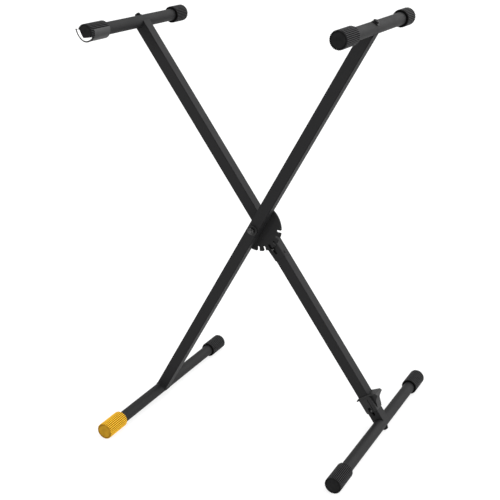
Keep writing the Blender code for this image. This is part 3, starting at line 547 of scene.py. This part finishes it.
# %% [markdown]
# The caps are what the hands and the keyboard touch, and their ribs are rounded, which the solids
# only suggest with flat strips. Each cap is made again as one surface: a profile that goes from
# the bore's floor over the mouth and along the outside to the end face, turned round the tube,
# with the ribs as a wave that fades out at the end.

# %% Section of a cap
BLACK_CAP_RIBS = 32
LEVELLING_CAP_RIBS = 28
RIB_DEPTH = 1.2 * MM
CROWN_SHARE = 0.30
FLANK_SHARE = 0.13
CAP_BORE = 13.0 * MM
CAP_END_WALL = 3.0 * MM
CAP_ROUNDING = 1.9 * MM
CAP_FACE_SINK = 0.5 * MM
MOUTH_ROUNDING = 0.7 * MM
POINTS_PER_RIB = 14
BORE_ROWS = 3


def quarter_turn(centre_radius, centre_height, radius, start_degrees, end_degrees, steps):
    """Points of an arc as radius and height: the centre plus the arc's radius at even angles."""
    turns = np.radians(np.linspace(start_degrees, end_degrees, steps))
    arc = radius * np.stack([np.cos(turns), np.sin(turns)], axis=-1)
    return arc + (centre_radius, centre_height)


def cap_profile(radius, length):
    """Rows of radius, height, rib depth and painted shade number, from the bore to the end face.

    The rib depth is 1 along the side, fades to 0 round the corner, and is 0 elsewhere. The
    painted shade number is low in the step round the sunk end face, so that the step is painted
    dark as shade; lower values also dim the bore, the mouth, the corner and the end face.
    The end face's rows are shares of the cap's radius, from its rim inwards."""
    floor = length - CAP_END_WALL
    face = length - CAP_FACE_SINK
    bore = [
        (0.05 * CAP_BORE, floor, 0.0, 0.0),
        (CAP_BORE, floor, 0.0, 0.0),
        (CAP_BORE, 0.0, 0.0, 0.0),
    ]
    mouth = quarter_turn(radius - MOUTH_ROUNDING, MOUTH_ROUNDING, MOUTH_ROUNDING, -90, 0, 5)
    mouth = np.column_stack([mouth, np.linspace(0.6, 1.0, 5), np.linspace(0.2, 0.7, 5)])
    side = [
        (radius, height, 1.0, 1.0)
        for height in np.linspace(1.5 * MOUTH_ROUNDING, length - 1.5 * CAP_ROUNDING, 6)
    ]
    corner = quarter_turn(radius - CAP_ROUNDING, length - CAP_ROUNDING, CAP_ROUNDING, 0, 90, 9)
    fade = np.cos(np.linspace(0, math.pi / 2, 9))
    corner = np.column_stack([corner, fade, 0.15 + 0.75 * fade])
    # The last number of each row is painted shade: low in the step, a middle value on the end face.
    end = [
        (0.83 * radius, length, 0.0, 0.15),
        (0.81 * radius, length - 0.15 * MM, 0.0, 0.05),
        (0.79 * radius, face, 0.0, 0.05),
        (0.77 * radius, face, 0.0, 0.30),
        (0.4 * radius, face, 0.0, 0.30),
        (0.05 * radius, face, 0.0, 0.30),
    ]
    return np.concatenate([bore, mouth, side, corner, end])


print("rows in a cap's section:", len(cap_profile(18 * MM, 60 * MM)))

# %% [markdown]
# The ribs are taken out of the round section as a wave in the angle. Crowns and grooves are flat,
# as the cutter of a mould leaves them, and the flanks between them are soft.

# %% Ribs round a cap


def rib_wave(turns, rib_count):
    """0 on a crown and 1 in a groove, both flat, with a smooth step down each flank between them.

    The step is three times the square less twice the cube of the way down the flank."""
    across = np.abs((turns * rib_count / (2 * math.pi)) % 1.0 - 0.5) * 2
    down = np.clip((1 - across - CROWN_SHARE) / (2 * FLANK_SHARE), 0.0, 1.0)
    return 3 * down**2 - 2 * down**3


def cap_grid(axis_point, toward, radius, length, end, rib_count, offset=(0.0, 0.0)):
    """The cap's surface on the tube's axis, which runs along Y, and its painted shade number at each point.

    The radius at each angle is the section's radius less the rib depth times the rib wave. The
    outside is moved off the bore's axis by the offset."""
    section = cap_profile(radius, length)
    turns = np.linspace(0, 2 * math.pi, rib_count * POINTS_PER_RIB, endpoint=False)
    groove = rib_wave(turns, rib_count)
    reach = section[:, :1] - RIB_DEPTH * section[:, 2:3] * groove
    # Painted shade: the number drops to 0 in each groove, as far as the rib depth reaches.
    painted_rib_shade = section[:, 3:4] * (1 - section[:, 2:3] * groove)
    outside = np.ones((len(section), 1))
    outside[:BORE_ROWS] = 0.0
    x = axis_point[0] + reach * np.cos(turns) + outside * offset[0]
    z = axis_point[2] + reach * np.sin(turns) + outside * offset[1]
    y = np.broadcast_to(toward * (end - length + section[:, 1:2]), x.shape)
    return np.stack([x, y, z], axis=-1), painted_rib_shade


def make_cap(node_name, surface, body, material):
    """A cap in place of its solid, with its painted shade numbers kept on the mesh's points."""
    grid, painted_rib_shade = surface
    piece = make_piece(f"ribbed_{node_name}", grid, body, material, (node_name,))
    layer = piece.data.attributes.new("painted_rib_shade", "FLOAT", "POINT")
    layer.data.foreach_set("value", painted_rib_shade.astype(np.float32).ravel())
    return piece


half_rib = math.pi / BLACK_CAP_RIBS
print("depth of a black cap's groove in mm:", RIB_DEPTH / MM * rib_wave(half_rib, BLACK_CAP_RIBS))

# %% The seven black caps
BLACK_CAPS = (
    ("right_foot_cap_front", foot_axis["right"], -1, foot_end, "back_frame"),
    ("right_foot_cap_rear", foot_axis["right"], 1, foot_end, "back_frame"),
    ("left_foot_cap_rear", foot_axis["left"], 1, foot_end, "front_frame"),
    ("left_arm_cap_front", arm_axis["left"], -1, arm_end, "back_frame"),
    ("left_arm_cap_rear", arm_axis["left"], 1, arm_end, "back_frame"),
    ("right_arm_cap_front", arm_axis["right"], -1, arm_end, "front_frame"),
    ("right_arm_cap_rear", arm_axis["right"], 1, arm_end, "front_frame"),
)
for node_name, axis_point, toward, end, body in BLACK_CAPS:
    low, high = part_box(node_name)
    radius, length = (high[2] - low[2]) / 2, high[1] - low[1]
    surface = cap_grid(axis_point, toward, radius, length, end, BLACK_CAP_RIBS)
    make_cap(node_name, surface, body, BLACK_RUBBER)

# %% [markdown]
# The yellow cap is the same surface with fewer ribs and its outside moved a little off the bore.
# When it is turned on the tube, the foot's height changes, which is how the stand is made level.

# %% Levelling cap
low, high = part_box("levelling_cap")
radius, length = (high[2] - low[2]) / 2, high[1] - low[1]
off_bore = (np.array(low) + np.array(high)) / 2 - foot_axis["left"]
offset = (off_bore[0], off_bore[2])
surface = cap_grid(foot_axis["left"], -1, radius, length, foot_end, LEVELLING_CAP_RIBS, offset)
make_cap("levelling_cap", surface, "levelling_cap", YELLOW_RUBBER)
print("the levelling cap's outside is off its bore, in mm, by", (off_bore[[0, 2]] / MM).round(2))

# %% [markdown]
# A bolt head, a nut and a washer are turned pieces with a few flats. One rule draws them all: at
# each height, the radius is the smaller of a round profile and a hexagon. Where the round profile
# is a cone, this gives the curved edges that a lathe leaves on the corners of a real nut. A screw
# thread is the same profile with a fine wave that climbs as it goes round.

# %% Turned pieces with flats and threads
TURNED_POINTS = 96
THREAD_PITCH = 1.25 * MM
THREAD_DEPTH = 0.55 * MM


def hexagon(flats, turns):
    """Distance from the centre to a hexagon's side at each angle: half the flats over a cosine."""
    return flats / 2 / np.cos((turns + math.pi / 6) % (math.pi / 3) - math.pi / 6)


def turned_grid(centre, along, beside, rows):
    """Rows of points round a line that starts at the centre and goes along.

    Each row is (height, round radius, flats or None, thread share). The radius is the smaller
    of the round radius and the hexagon of those flats, less the thread's depth times half of
    one plus the cosine of the angle minus the turns that the height holds."""
    turns = np.linspace(0, 2 * math.pi, TURNED_POINTS, endpoint=False)
    third = np.cross(along, beside)
    round_way = np.cos(turns)[:, None] * beside + np.sin(turns)[:, None] * third
    grid = []
    for height, radius, flats, thread in rows:
        reach = np.full(TURNED_POINTS, radius)
        if flats:
            reach = np.minimum(reach, hexagon(flats, turns))
        climb = np.cos(turns - 2 * math.pi * height / THREAD_PITCH)
        reach = reach - thread * THREAD_DEPTH * (1 + climb) / 2
        grid.append(centre + height * along + reach[:, None] * round_way)
    return np.array(grid)


print("a 13 mm hexagon's corner in mm:", round(float(hexagon(13.0, math.pi / 6)), 2))

# %% [markdown]
# The pivot is an M8 bolt through both bars. Its head is behind, and its nut in front is a locking
# nut: a hexagon that ends in a round collar, with the last turns of the bolt's thread standing
# out of it. The thread is rolled, 1.25 mm from turn to turn.

# %% Pivot bolt
HEX_FLATS = 13.0 * MM
HEX_HALF = HEX_FLATS / 2
HEX_CORNER = HEX_FLATS / math.sqrt(3)
BOLT_RADIUS = 4.0 * MM
HEAD_DEPTH = 5.3 * MM
THREAD_LENGTH = 14.0 * MM
ROWS_PER_TURN = 8
FORWARD = -ACROSS
BESIDE = np.array([1.0, 0.0, 0.0])
bolt_low, bolt_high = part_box("pivot_bolt")
bolt_length = bolt_high[1] - bolt_low[1]

head = [
    (0.0, 0.86 * HEX_HALF, None, 0.0),
    (0.0, 0.90 * HEX_HALF, HEX_FLATS, 0.0),
    (0.15 * MM, 0.98 * HEX_HALF, HEX_FLATS, 0.0),
    (0.55 * MM, 1.03 * HEX_HALF, HEX_FLATS, 0.0),
    (1.1 * MM, HEX_CORNER, HEX_FLATS, 0.0),
    (HEAD_DEPTH - 0.1 * MM, HEX_CORNER, HEX_FLATS, 0.0),
    (HEAD_DEPTH, HEX_CORNER - 0.2 * MM, HEX_FLATS - 0.2 * MM, 0.0),
    (HEAD_DEPTH, BOLT_RADIUS, None, 0.0),
]
thread_start = bolt_length - THREAD_LENGTH
shank = [(thread_start - 0.6 * MM, BOLT_RADIUS, None, 0.0)]
heights = np.arange(thread_start, bolt_length - 0.5 * MM, THREAD_PITCH / ROWS_PER_TURN)
thread = [(height, BOLT_RADIUS, None, 1.0) for height in heights]
tip = [
    (bolt_length - 0.45 * MM, BOLT_RADIUS - 0.1 * MM, None, 0.8),
    (bolt_length - 0.2 * MM, BOLT_RADIUS - 0.45 * MM, None, 0.3),
    (bolt_length, BOLT_RADIUS - 0.75 * MM, None, 0.0),
]
back_of_head = np.array([pivot[0], bolt_high[1], pivot[2]])
grid = turned_grid(back_of_head, FORWARD, BESIDE, head + shank + thread + tip)
make_piece("threaded_pivot_bolt", grid, "back_frame", ZINC_PLATE, ("pivot_bolt",))

# %% Pivot nut
NUT_BORE = 4.3 * MM
COLLAR_RADIUS = 5.75 * MM
HEX_SHARE_OF_NUT = 0.72
nut_low, nut_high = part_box("pivot_nut")
nut_depth = nut_high[1] - nut_low[1]
hex_depth = HEX_SHARE_OF_NUT * nut_depth
nut_rows = [
    (0.0, NUT_BORE, None, 0.0),
    (0.0, 0.97 * HEX_HALF, HEX_FLATS, 0.0),
    (0.25 * MM, 1.03 * HEX_HALF, HEX_FLATS, 0.0),
    (0.7 * MM, HEX_CORNER, HEX_FLATS, 0.0),
    (hex_depth - 0.9 * MM, HEX_CORNER, HEX_FLATS, 0.0),
    (hex_depth - 0.4 * MM, 1.03 * HEX_HALF, HEX_FLATS, 0.0),
    (hex_depth, 0.95 * HEX_HALF, HEX_FLATS, 0.0),
    (hex_depth + 0.1 * MM, COLLAR_RADIUS, None, 0.0),
    (nut_depth - 0.9 * MM, COLLAR_RADIUS, None, 0.0),
    (nut_depth - 0.3 * MM, COLLAR_RADIUS - 0.2 * MM, None, 0.0),
    (nut_depth, COLLAR_RADIUS - 0.7 * MM, None, 0.0),
    (nut_depth, 4.9 * MM, None, 0.0),
    (nut_depth - 0.4 * MM, 4.6 * MM, None, 0.0),
    (nut_depth - 0.5 * MM, NUT_BORE, None, 0.0),
]
nut_back = np.array([pivot[0], nut_high[1], pivot[2]])
grid = turned_grid(nut_back, FORWARD, BESIDE, nut_rows)
make_piece(
    "locking_pivot_nut",
    grid,
    "back_frame",
    ZINC_PLATE,
    ("pivot_nut",),
    rows_join=True,
)

# %% [markdown]
# Three of the cross tubes are bolted to the ends of the bars. Such a bolt has a low domed head
# with a hexagon socket, and it sits on a washer that is curved to the tube.

# %% Domed bolts of the cross tubes
DOME_RADIUS = 6.25 * MM
DOME_TOP_RADIUS = 3.6 * MM
DOME_HEIGHT = 3.6 * MM
DOME_SHARE = 0.82
SOCKET_FLATS = 4.0 * MM
SOCKET_DEPTH = 1.8 * MM


def domed_bolt_rows(length):
    """Rows of a domed head with a hexagon socket and of its shank, from the socket's floor on.

    The dome is a quarter of an ellipse from the head's flat top down to its rim, over its
    share of the head's height."""
    turns = np.linspace(math.pi / 2, 0, 9)
    dome_reach = DOME_TOP_RADIUS + (DOME_RADIUS - DOME_TOP_RADIUS) * np.cos(turns)
    dome_height = DOME_SHARE * DOME_HEIGHT * (1 - np.sin(turns))
    socket_corner = SOCKET_FLATS / math.sqrt(3)
    rows = [
        (SOCKET_DEPTH, 0.3 * MM, None, 0.0),
        (SOCKET_DEPTH - 0.3 * MM, socket_corner, SOCKET_FLATS, 0.0),
        (0.15 * MM, socket_corner, SOCKET_FLATS, 0.0),
        (0.0, socket_corner + 0.15 * MM, SOCKET_FLATS + 0.3 * MM, 0.0),
    ]
    rows += [(height, reach, None, 0.0) for height, reach in zip(dome_height, dome_reach)]
    rows += [
        (DOME_HEIGHT - 0.15 * MM, DOME_RADIUS, None, 0.0),
        (DOME_HEIGHT, DOME_RADIUS - 0.15 * MM, None, 0.0),
        (DOME_HEIGHT, BOLT_RADIUS, None, 0.0),
        (length - 0.5 * MM, BOLT_RADIUS, None, 0.0),
        (length, BOLT_RADIUS - 0.5 * MM, None, 0.0),
    ]
    return rows


print("rows of a domed bolt:", len(domed_bolt_rows(38 * MM)))

# %% The three domed bolts
BOLTED = (
    ("left_arm_bolt", arm_axis["left"], -back_up, "back_frame"),
    ("right_arm_bolt", arm_axis["right"], -front_up, "front_frame"),
    ("right_foot_bolt", foot_axis["right"], back_up, "back_frame"),
)
SEAT_FROM_AXIS = 14.5 * MM
SHANK_BEYOND_AXIS = 20.2 * MM
for node_name, axis_point, inward, body in BOLTED:
    on_axis = np.array([axis_point[0], middle(node_name)[1], axis_point[2]])
    top = on_axis - inward * (SEAT_FROM_AXIS + DOME_HEIGHT)
    length = SEAT_FROM_AXIS + DOME_HEIGHT + SHANK_BEYOND_AXIS
    grid = turned_grid(top, inward, ACROSS, domed_bolt_rows(length))
    make_piece(f"domed_{node_name}", grid, body, BLACKENED_STEEL, (node_name,))

# %% [markdown]
# A washer under such a bolt is pressed to the curve of the tube, so that the head doesn't dent
# the tube's wall. It is a flat ring whose points drop onto a cylinder, with its outer edges
# broken as they are when a ring is punched and tumbled.

# %% Curved washers of the cross tubes
WASHER_HOLE = 4.3 * MM
WASHER_RADIUS = 8.0 * MM
WASHER_THICKNESS = 1.2 * MM
WASHER_EDGE = 0.25 * MM
WASHER_CIRCLES = 5
UNDER_HEAD_GAP = 0.1 * MM
UNDER_WASHER = SEAT_FROM_AXIS - WASHER_THICKNESS - UNDER_HEAD_GAP


def bent_ring(on_axis, inward):
    """A ring bent to a tube: its height is the root of bend squared less across squared.

    Each row is a circle of the ring, given by its own radius and by the radius that it is bent
    to."""
    turns = np.linspace(0, 2 * math.pi, TURNED_POINTS, endpoint=False)
    radii = np.linspace(WASHER_HOLE, WASHER_RADIUS - WASHER_EDGE, WASHER_CIRCLES)
    radius = np.concatenate([radii, [WASHER_RADIUS, WASHER_RADIUS], radii[::-1]])[:, None]
    top = UNDER_WASHER + WASHER_THICKNESS
    edges = [UNDER_WASHER + WASHER_EDGE, top - WASHER_EDGE]
    under, over = np.full(WASHER_CIRCLES, UNDER_WASHER), np.full(WASHER_CIRCLES, top)
    bend = np.concatenate([under, edges, over])[:, None]
    across, along = radius * np.cos(turns), radius * np.sin(turns)
    height = np.sqrt(bend**2 - across**2)
    side = np.cross(inward, ACROSS)
    return (
        on_axis
        + across[..., None] * side
        + along[..., None] * ACROSS
        - height[..., None] * inward
    )


for node_name, axis_point, inward, body in BOLTED:
    on_axis = np.array([axis_point[0], middle(node_name)[1], axis_point[2]])
    washer = node_name.replace("bolt", "saddle_washer")
    make_piece(
        f"curved_{washer}",
        bent_ring(on_axis, inward),
        body,
        BLACKENED_STEEL,
        (washer,),
        rows_join=True,
    )

# %% [markdown]
# The left foot tube is welded to its bar all the way round, and the lock disc to the side of the
# same bar. A weld bead is a rounded ridge with small ripples, one for each time the molten pool
# set. Its section is a circle that swells a little at each ripple, carried along the line where
# the two pieces meet.

# %% A bead along a line
RIPPLE_SPACING = 2.0 * MM
RIPPLE_SHARE = 0.10
SQUARE_POWER = 2 / 9


def square_path(half, count):
    """Points round a rounded square: half its side times a low power of the cosine and sine."""
    turns = np.linspace(0, 2 * math.pi, count, endpoint=False)
    across = np.sign(np.cos(turns)) * np.abs(np.cos(turns)) ** SQUARE_POWER * half
    deep = np.sign(np.sin(turns)) * np.abs(np.sin(turns)) ** SQUARE_POWER * half
    return across, deep


def carried_circle(path, radii, sides, outward):
    """A circle carried along a path, square to it, with its own radius at each point."""
    ahead = np.gradient(path, axis=0)
    ahead /= np.linalg.norm(ahead, axis=1)[:, None]
    outward = outward - (outward * ahead).sum(axis=1)[:, None] * ahead
    outward /= np.linalg.norm(outward, axis=1)[:, None]
    third = np.cross(ahead, outward)
    turns = np.linspace(0, 2 * math.pi, sides, endpoint=False)
    cosine, sine = np.cos(turns)[:, None], np.sin(turns)[:, None]
    circles = cosine * outward[:, None] + sine * third[:, None]
    return path[:, None] + radii[:, None, None] * circles


def rippled(radius, path):
    """The bead's radius at each point: a tenth more and less, once for each ripple's spacing."""
    steps = np.linalg.norm(np.diff(path, axis=0, prepend=path[:1]), axis=1)
    return radius * (1 + RIPPLE_SHARE * np.sin(2 * math.pi * np.cumsum(steps) / RIPPLE_SPACING))


print("half side of the path round a bar in mm:", round(square_path(BAR_HALF, 8)[0].max() / MM, 2))

# %% Bead round the left foot
BEAD_RADIUS = 1.7 * MM
BEAD_POINTS = 240
BEAD_SIDES = 12
BEAD_LIFT = 0.2 * MM
TUBE_RADIUS = 12.7 * MM
across, deep = square_path(BAR_HALF, BEAD_POINTS)
height = np.sqrt(np.maximum(TUBE_RADIUS**2 - across**2, 0.0)) + BEAD_LIFT
weld_path = (
    foot_axis["left"] * np.array([1, 0, 1])
    + across[:, None] * front_side
    + (middle("front_bar")[1] + deep)[:, None] * ACROSS
    + height[:, None] * front_up
)
outward = weld_path - weld_path.mean(axis=0)
grid = carried_circle(weld_path, rippled(BEAD_RADIUS, weld_path), BEAD_SIDES, outward)
make_piece("left_foot_weld_bead", grid, "front_frame", POWDER_COAT, rows_join=True)

# %% Beads of the lock disc
DISC_BEAD_RADIUS = 1.3 * MM
DISC_BEAD_POINTS = 60
DISC_BEADS = (("upper", -38 * MM, -20 * MM), ("lower", 20 * MM, 38 * MM))
FROM_BAR_SIDE = 0.4 * MM
FROM_DISC_FRONT = 0.2 * MM
disc_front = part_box("lock_disc")[0][1]
corner_line = (
    pivot * np.array([1, 0, 1])
    + (BAR_HALF - FROM_BAR_SIDE) * front_side
    + disc_front * ACROSS
)
# Both ends of a bead taper: the radius goes with the root of one less the eighth power of the way.
swell = np.sqrt(np.maximum(1 - np.linspace(-1, 1, DISC_BEAD_POINTS) ** 8, 0.05))
for which, start, end in DISC_BEADS:
    down = np.linspace(start, end, DISC_BEAD_POINTS)
    path = corner_line - down[:, None] * front_up - FROM_DISC_FRONT * ACROSS
    radii = rippled(DISC_BEAD_RADIUS, path) * swell
    grid = carried_circle(path, radii, BEAD_SIDES, np.broadcast_to(front_side, path.shape))
    make_piece(f"lock_disc_weld_{which}", grid, "front_frame", POWDER_COAT)

# %% [markdown]
# The front cap of the left arm carries an end label: a thin black plate with a bare white film on
# it, cut along the rim. It is stuck to the raised ring of the end face, and its upper left corner
# and its right end stand out past the rim. Both are one outline with its corners rounded by
# averaging, pulled through a small thickness. A smooth black film round the lower half of the cap
# bridges its ribs.

# %% Outline and finishes of the label
LABEL_OUTER = (
    (-20.3, 8.1), (-18.6, 2.5), (-16.5, -2.8), (-13.6, -7.5), (-10.3, -11.4), (-5.3, -15.3),
    (0.6, -16.9), (6.5, -16.4), (12.4, -14.4), (17.6, -11.2), (19.4, -9.0),
)
LABEL_INNER = ((17.4, -7.6), (10.6, -8.2), (3.0, -8.9), (-4.0, -9.3), (-8.3, -1.7), (-11.5, 6.9))
PLATE_SCALE = 1.07
FILM_SCALE = 0.89
LABEL_POINTS = 160
CORNER_SPREAD = 2


def rounded_outline(scale):
    """Even points along the closed outline, each replaced by the mean of itself and its neighbours.

    The outer corners, in mm from the cap's axis, are scaled away from it, and the inner ones
    stay."""
    corners = [(x * scale, z * scale) for x, z in LABEL_OUTER] + list(LABEL_INNER)
    loop = np.array(corners + corners[:1], float) * MM
    walked = np.concatenate([[0.0], np.cumsum(np.linalg.norm(np.diff(loop, axis=0), axis=1))])
    even = np.linspace(0, walked[-1], LABEL_POINTS, endpoint=False)
    points = np.stack([np.interp(even, walked, loop[:, axis]) for axis in (0, 1)], axis=-1)
    near = range(-CORNER_SPREAD, CORNER_SPREAD + 1)
    return np.mean([np.roll(points, shift, axis=0) for shift in near], axis=0)


def label_film(name, patch, colours, roughness):
    """Cast polyester film: an even colour, a soft shine and no grain."""
    material, tree, shader, coordinates = start_material(name, IOR=1.46)
    mottle(tree, shader, coordinates, patch, colours, roughness)
    return material


WHITE_FILM = label_film("white_label_film", 6 * MM, ("#f2f2f1", "#fbfbfb"), (0.35, 0.5))
BLACK_FILM = label_film("black_label_film", 12 * MM, ("#1c1c1d", "#212122"), (0.48, 0.56))
print("label width in mm:", round(float(np.ptp(rounded_outline(PLATE_SCALE)[:, 0])) / MM, 1))

# %% Bare end label
# Each row is the height before the cap's end face, and how far the outline grows there.
PLATE_ROWS = ((0.02 * MM, 0.0), (0.35 * MM, 0.0), (0.45 * MM, -0.1 * MM))
FILM_ROWS = ((0.46 * MM, 0.0), (0.56 * MM, 0.0))


def plate_grid(outline, rows):
    """The outline, in X and Z from the left arm's axis, at each row's height and with its growth.

    The growth moves every point away from the outline's middle."""
    away = outline - outline.mean(axis=0)
    away /= np.linalg.norm(away, axis=1)[:, None]
    grid = []
    for height, growth in rows:
        points = outline + growth * away
        y = np.full(len(points), -arm_end - height)
        flat = np.stack([points[:, 0], y, points[:, 1]], axis=-1)
        grid.append(flat + arm_axis["left"] * np.array([1, 0, 1]))
    return np.array(grid)


grid = plate_grid(rounded_outline(PLATE_SCALE), PLATE_ROWS)
make_piece("end_label_backing", grid, "back_frame", BLACK_NYLON)
grid = plate_grid(rounded_outline(FILM_SCALE), FILM_ROWS)
make_piece("end_label_film", grid, "back_frame", WHITE_FILM)

# %% Smooth film round the cap
WRAP_FROM = math.radians(-170)
WRAP_TO = math.radians(22)
WRAP_TURNS = 64
WRAP_THICKNESS = 0.2 * MM
WRAP_BEHIND_END = 9.0 * MM
WRAP_BEFORE_MOUTH = 0.8 * MM


def wrapped_film(axis_point, radius, start, end):
    """A thin shell: a flat section of radius and place along Y, turned part of the way round."""
    outer = radius + WRAP_THICKNESS
    section = np.array([(radius, start), (outer, start), (outer, end), (radius, end)])
    turns = np.linspace(WRAP_FROM, WRAP_TO, WRAP_TURNS)[:, None]
    x = axis_point[0] + section[:, 0] * np.cos(turns)
    z = axis_point[2] + section[:, 0] * np.sin(turns)
    return np.stack([x, np.broadcast_to(section[:, 1], x.shape), z], axis=-1)


low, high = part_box("left_arm_cap_front")
start, end = low[1] + WRAP_BEHIND_END, high[1] - WRAP_BEFORE_MOUTH
grid = wrapped_film(arm_axis["left"], (high[2] - low[2]) / 2, start, end)
make_piece("cap_label_film", grid, "back_frame", BLACK_FILM)

# %% [markdown]
# A photograph of such a stand is lit so that dark steel shows its shape by broad, gentle
# reflections. The floor is a plain table of white plastic sheet, lit mostly from below, so that
# hardly any shadow falls on it and it throws no glare on the front faces. The sky is white and
# brightens towards the upper right and back, which gives the sides of the bars and the tubes
# their paler tone. A small soft box in front casts the shadow of the front bar on the lock disc,
# and a larger one is on the right.

# %% Pale floor
FLOOR_RADIUS = 14.0
FLOOR_POINTS = 96
FLOOR_GLOW = 0.75


def pale_floor():
    """A flat disc under the feet: a matt white sheet with light coming through it."""
    material, tree, shader, coordinates = start_material(
        "lit_white_sheet", IOR=1.4, Emission_Color=linear("#ffffff"), Emission_Strength=FLOOR_GLOW
    )
    mottle(tree, shader, coordinates, 0.8, ("#888888", "#8c8c8c"), (0.85, 0.95))
    turns = np.linspace(0, 2 * math.pi, FLOOR_POINTS, endpoint=False)
    points = FLOOR_RADIUS * np.stack([np.cos(turns), np.sin(turns), 0 * turns], axis=-1)
    mesh = bpy.data.meshes.new("studio_floor")
    mesh.from_pydata(points.tolist(), [], [list(range(FLOOR_POINTS))])
    mesh.materials.append(material)
    floor = bpy.data.objects.new("studio_floor", mesh)
    bpy.context.collection.objects.link(floor)
    return floor


print("floor:", pale_floor().name)

# %% White sky
EVEN_SKY = 0.97
GLOW = 3.0
GLOW_TOWARD = (0.62, 0.50, 0.60)
GLOW_FROM = 0.60
GLOW_TO = 0.95


def studio_sky():
    """A white sky: an even part, and a glow that grows smoothly as directions near one direction.

    Nearness is the cosine of the angle to that direction. The glow is whole from its second
    limit on."""
    world = bpy.data.worlds.new("studio_sky")
    world.use_nodes = True
    tree = world.node_tree
    background = tree.nodes["Background"]
    background.inputs["Color"].default_value = linear("#ffffff")
    direction = add_node(tree, "ShaderNodeTexCoord").outputs["Generated"]
    nearness = add_node(
        tree, "ShaderNodeVectorMath", {"operation": "DOT_PRODUCT", 1: GLOW_TOWARD}, {0: direction}
    ).outputs["Value"]
    strength = add_node(
        tree,
        "ShaderNodeMapRange",
        {
            "interpolation_type": "SMOOTHSTEP",
            "From Min": GLOW_FROM,
            "From Max": GLOW_TO,
            "To Min": EVEN_SKY,
            "To Max": GLOW,
        },
        {"Value": nearness},
    ).outputs["Result"]
    tree.links.new(strength, background.inputs["Strength"])
    bpy.context.scene.world = world
    return world


print("sky:", studio_sky().name)

# %% Soft boxes
# Each has a name, a place in metres, the side of its square in metres and its power in watts.
SOFT_BOXES = (
    ("front_box", (-0.75, -2.3, 1.35), 0.5, 11.0),
    ("key_box", (2.6, -0.2, 2.8), 2.0, 15.0),
)


def soft_box(name, place, target, size, power):
    """A square area light at a place, turned to a target."""
    lamp = bpy.data.lights.new(name, "AREA")
    lamp.shape = "SQUARE"
    lamp.size = size
    lamp.energy = power
    light = bpy.data.objects.new(name, lamp)
    away = np.array(place, float) - np.array(target, float)
    away /= np.linalg.norm(away)
    side = np.cross([0.0, 0.0, 1.0], away)
    side /= np.linalg.norm(side)
    matrix = np.eye(4)
    matrix[:3, 0] = side
    matrix[:3, 1] = np.cross(away, side)
    matrix[:3, 2] = away
    matrix[:3, 3] = place
    light.matrix_world = Matrix(matrix.tolist())
    bpy.context.collection.objects.link(light)
    return light


for name, place, size, power in SOFT_BOXES:
    print("light:", soft_box(name, place, pivot, size, power).name)
bpy.context.scene.view_settings.view_transform = "Standard"
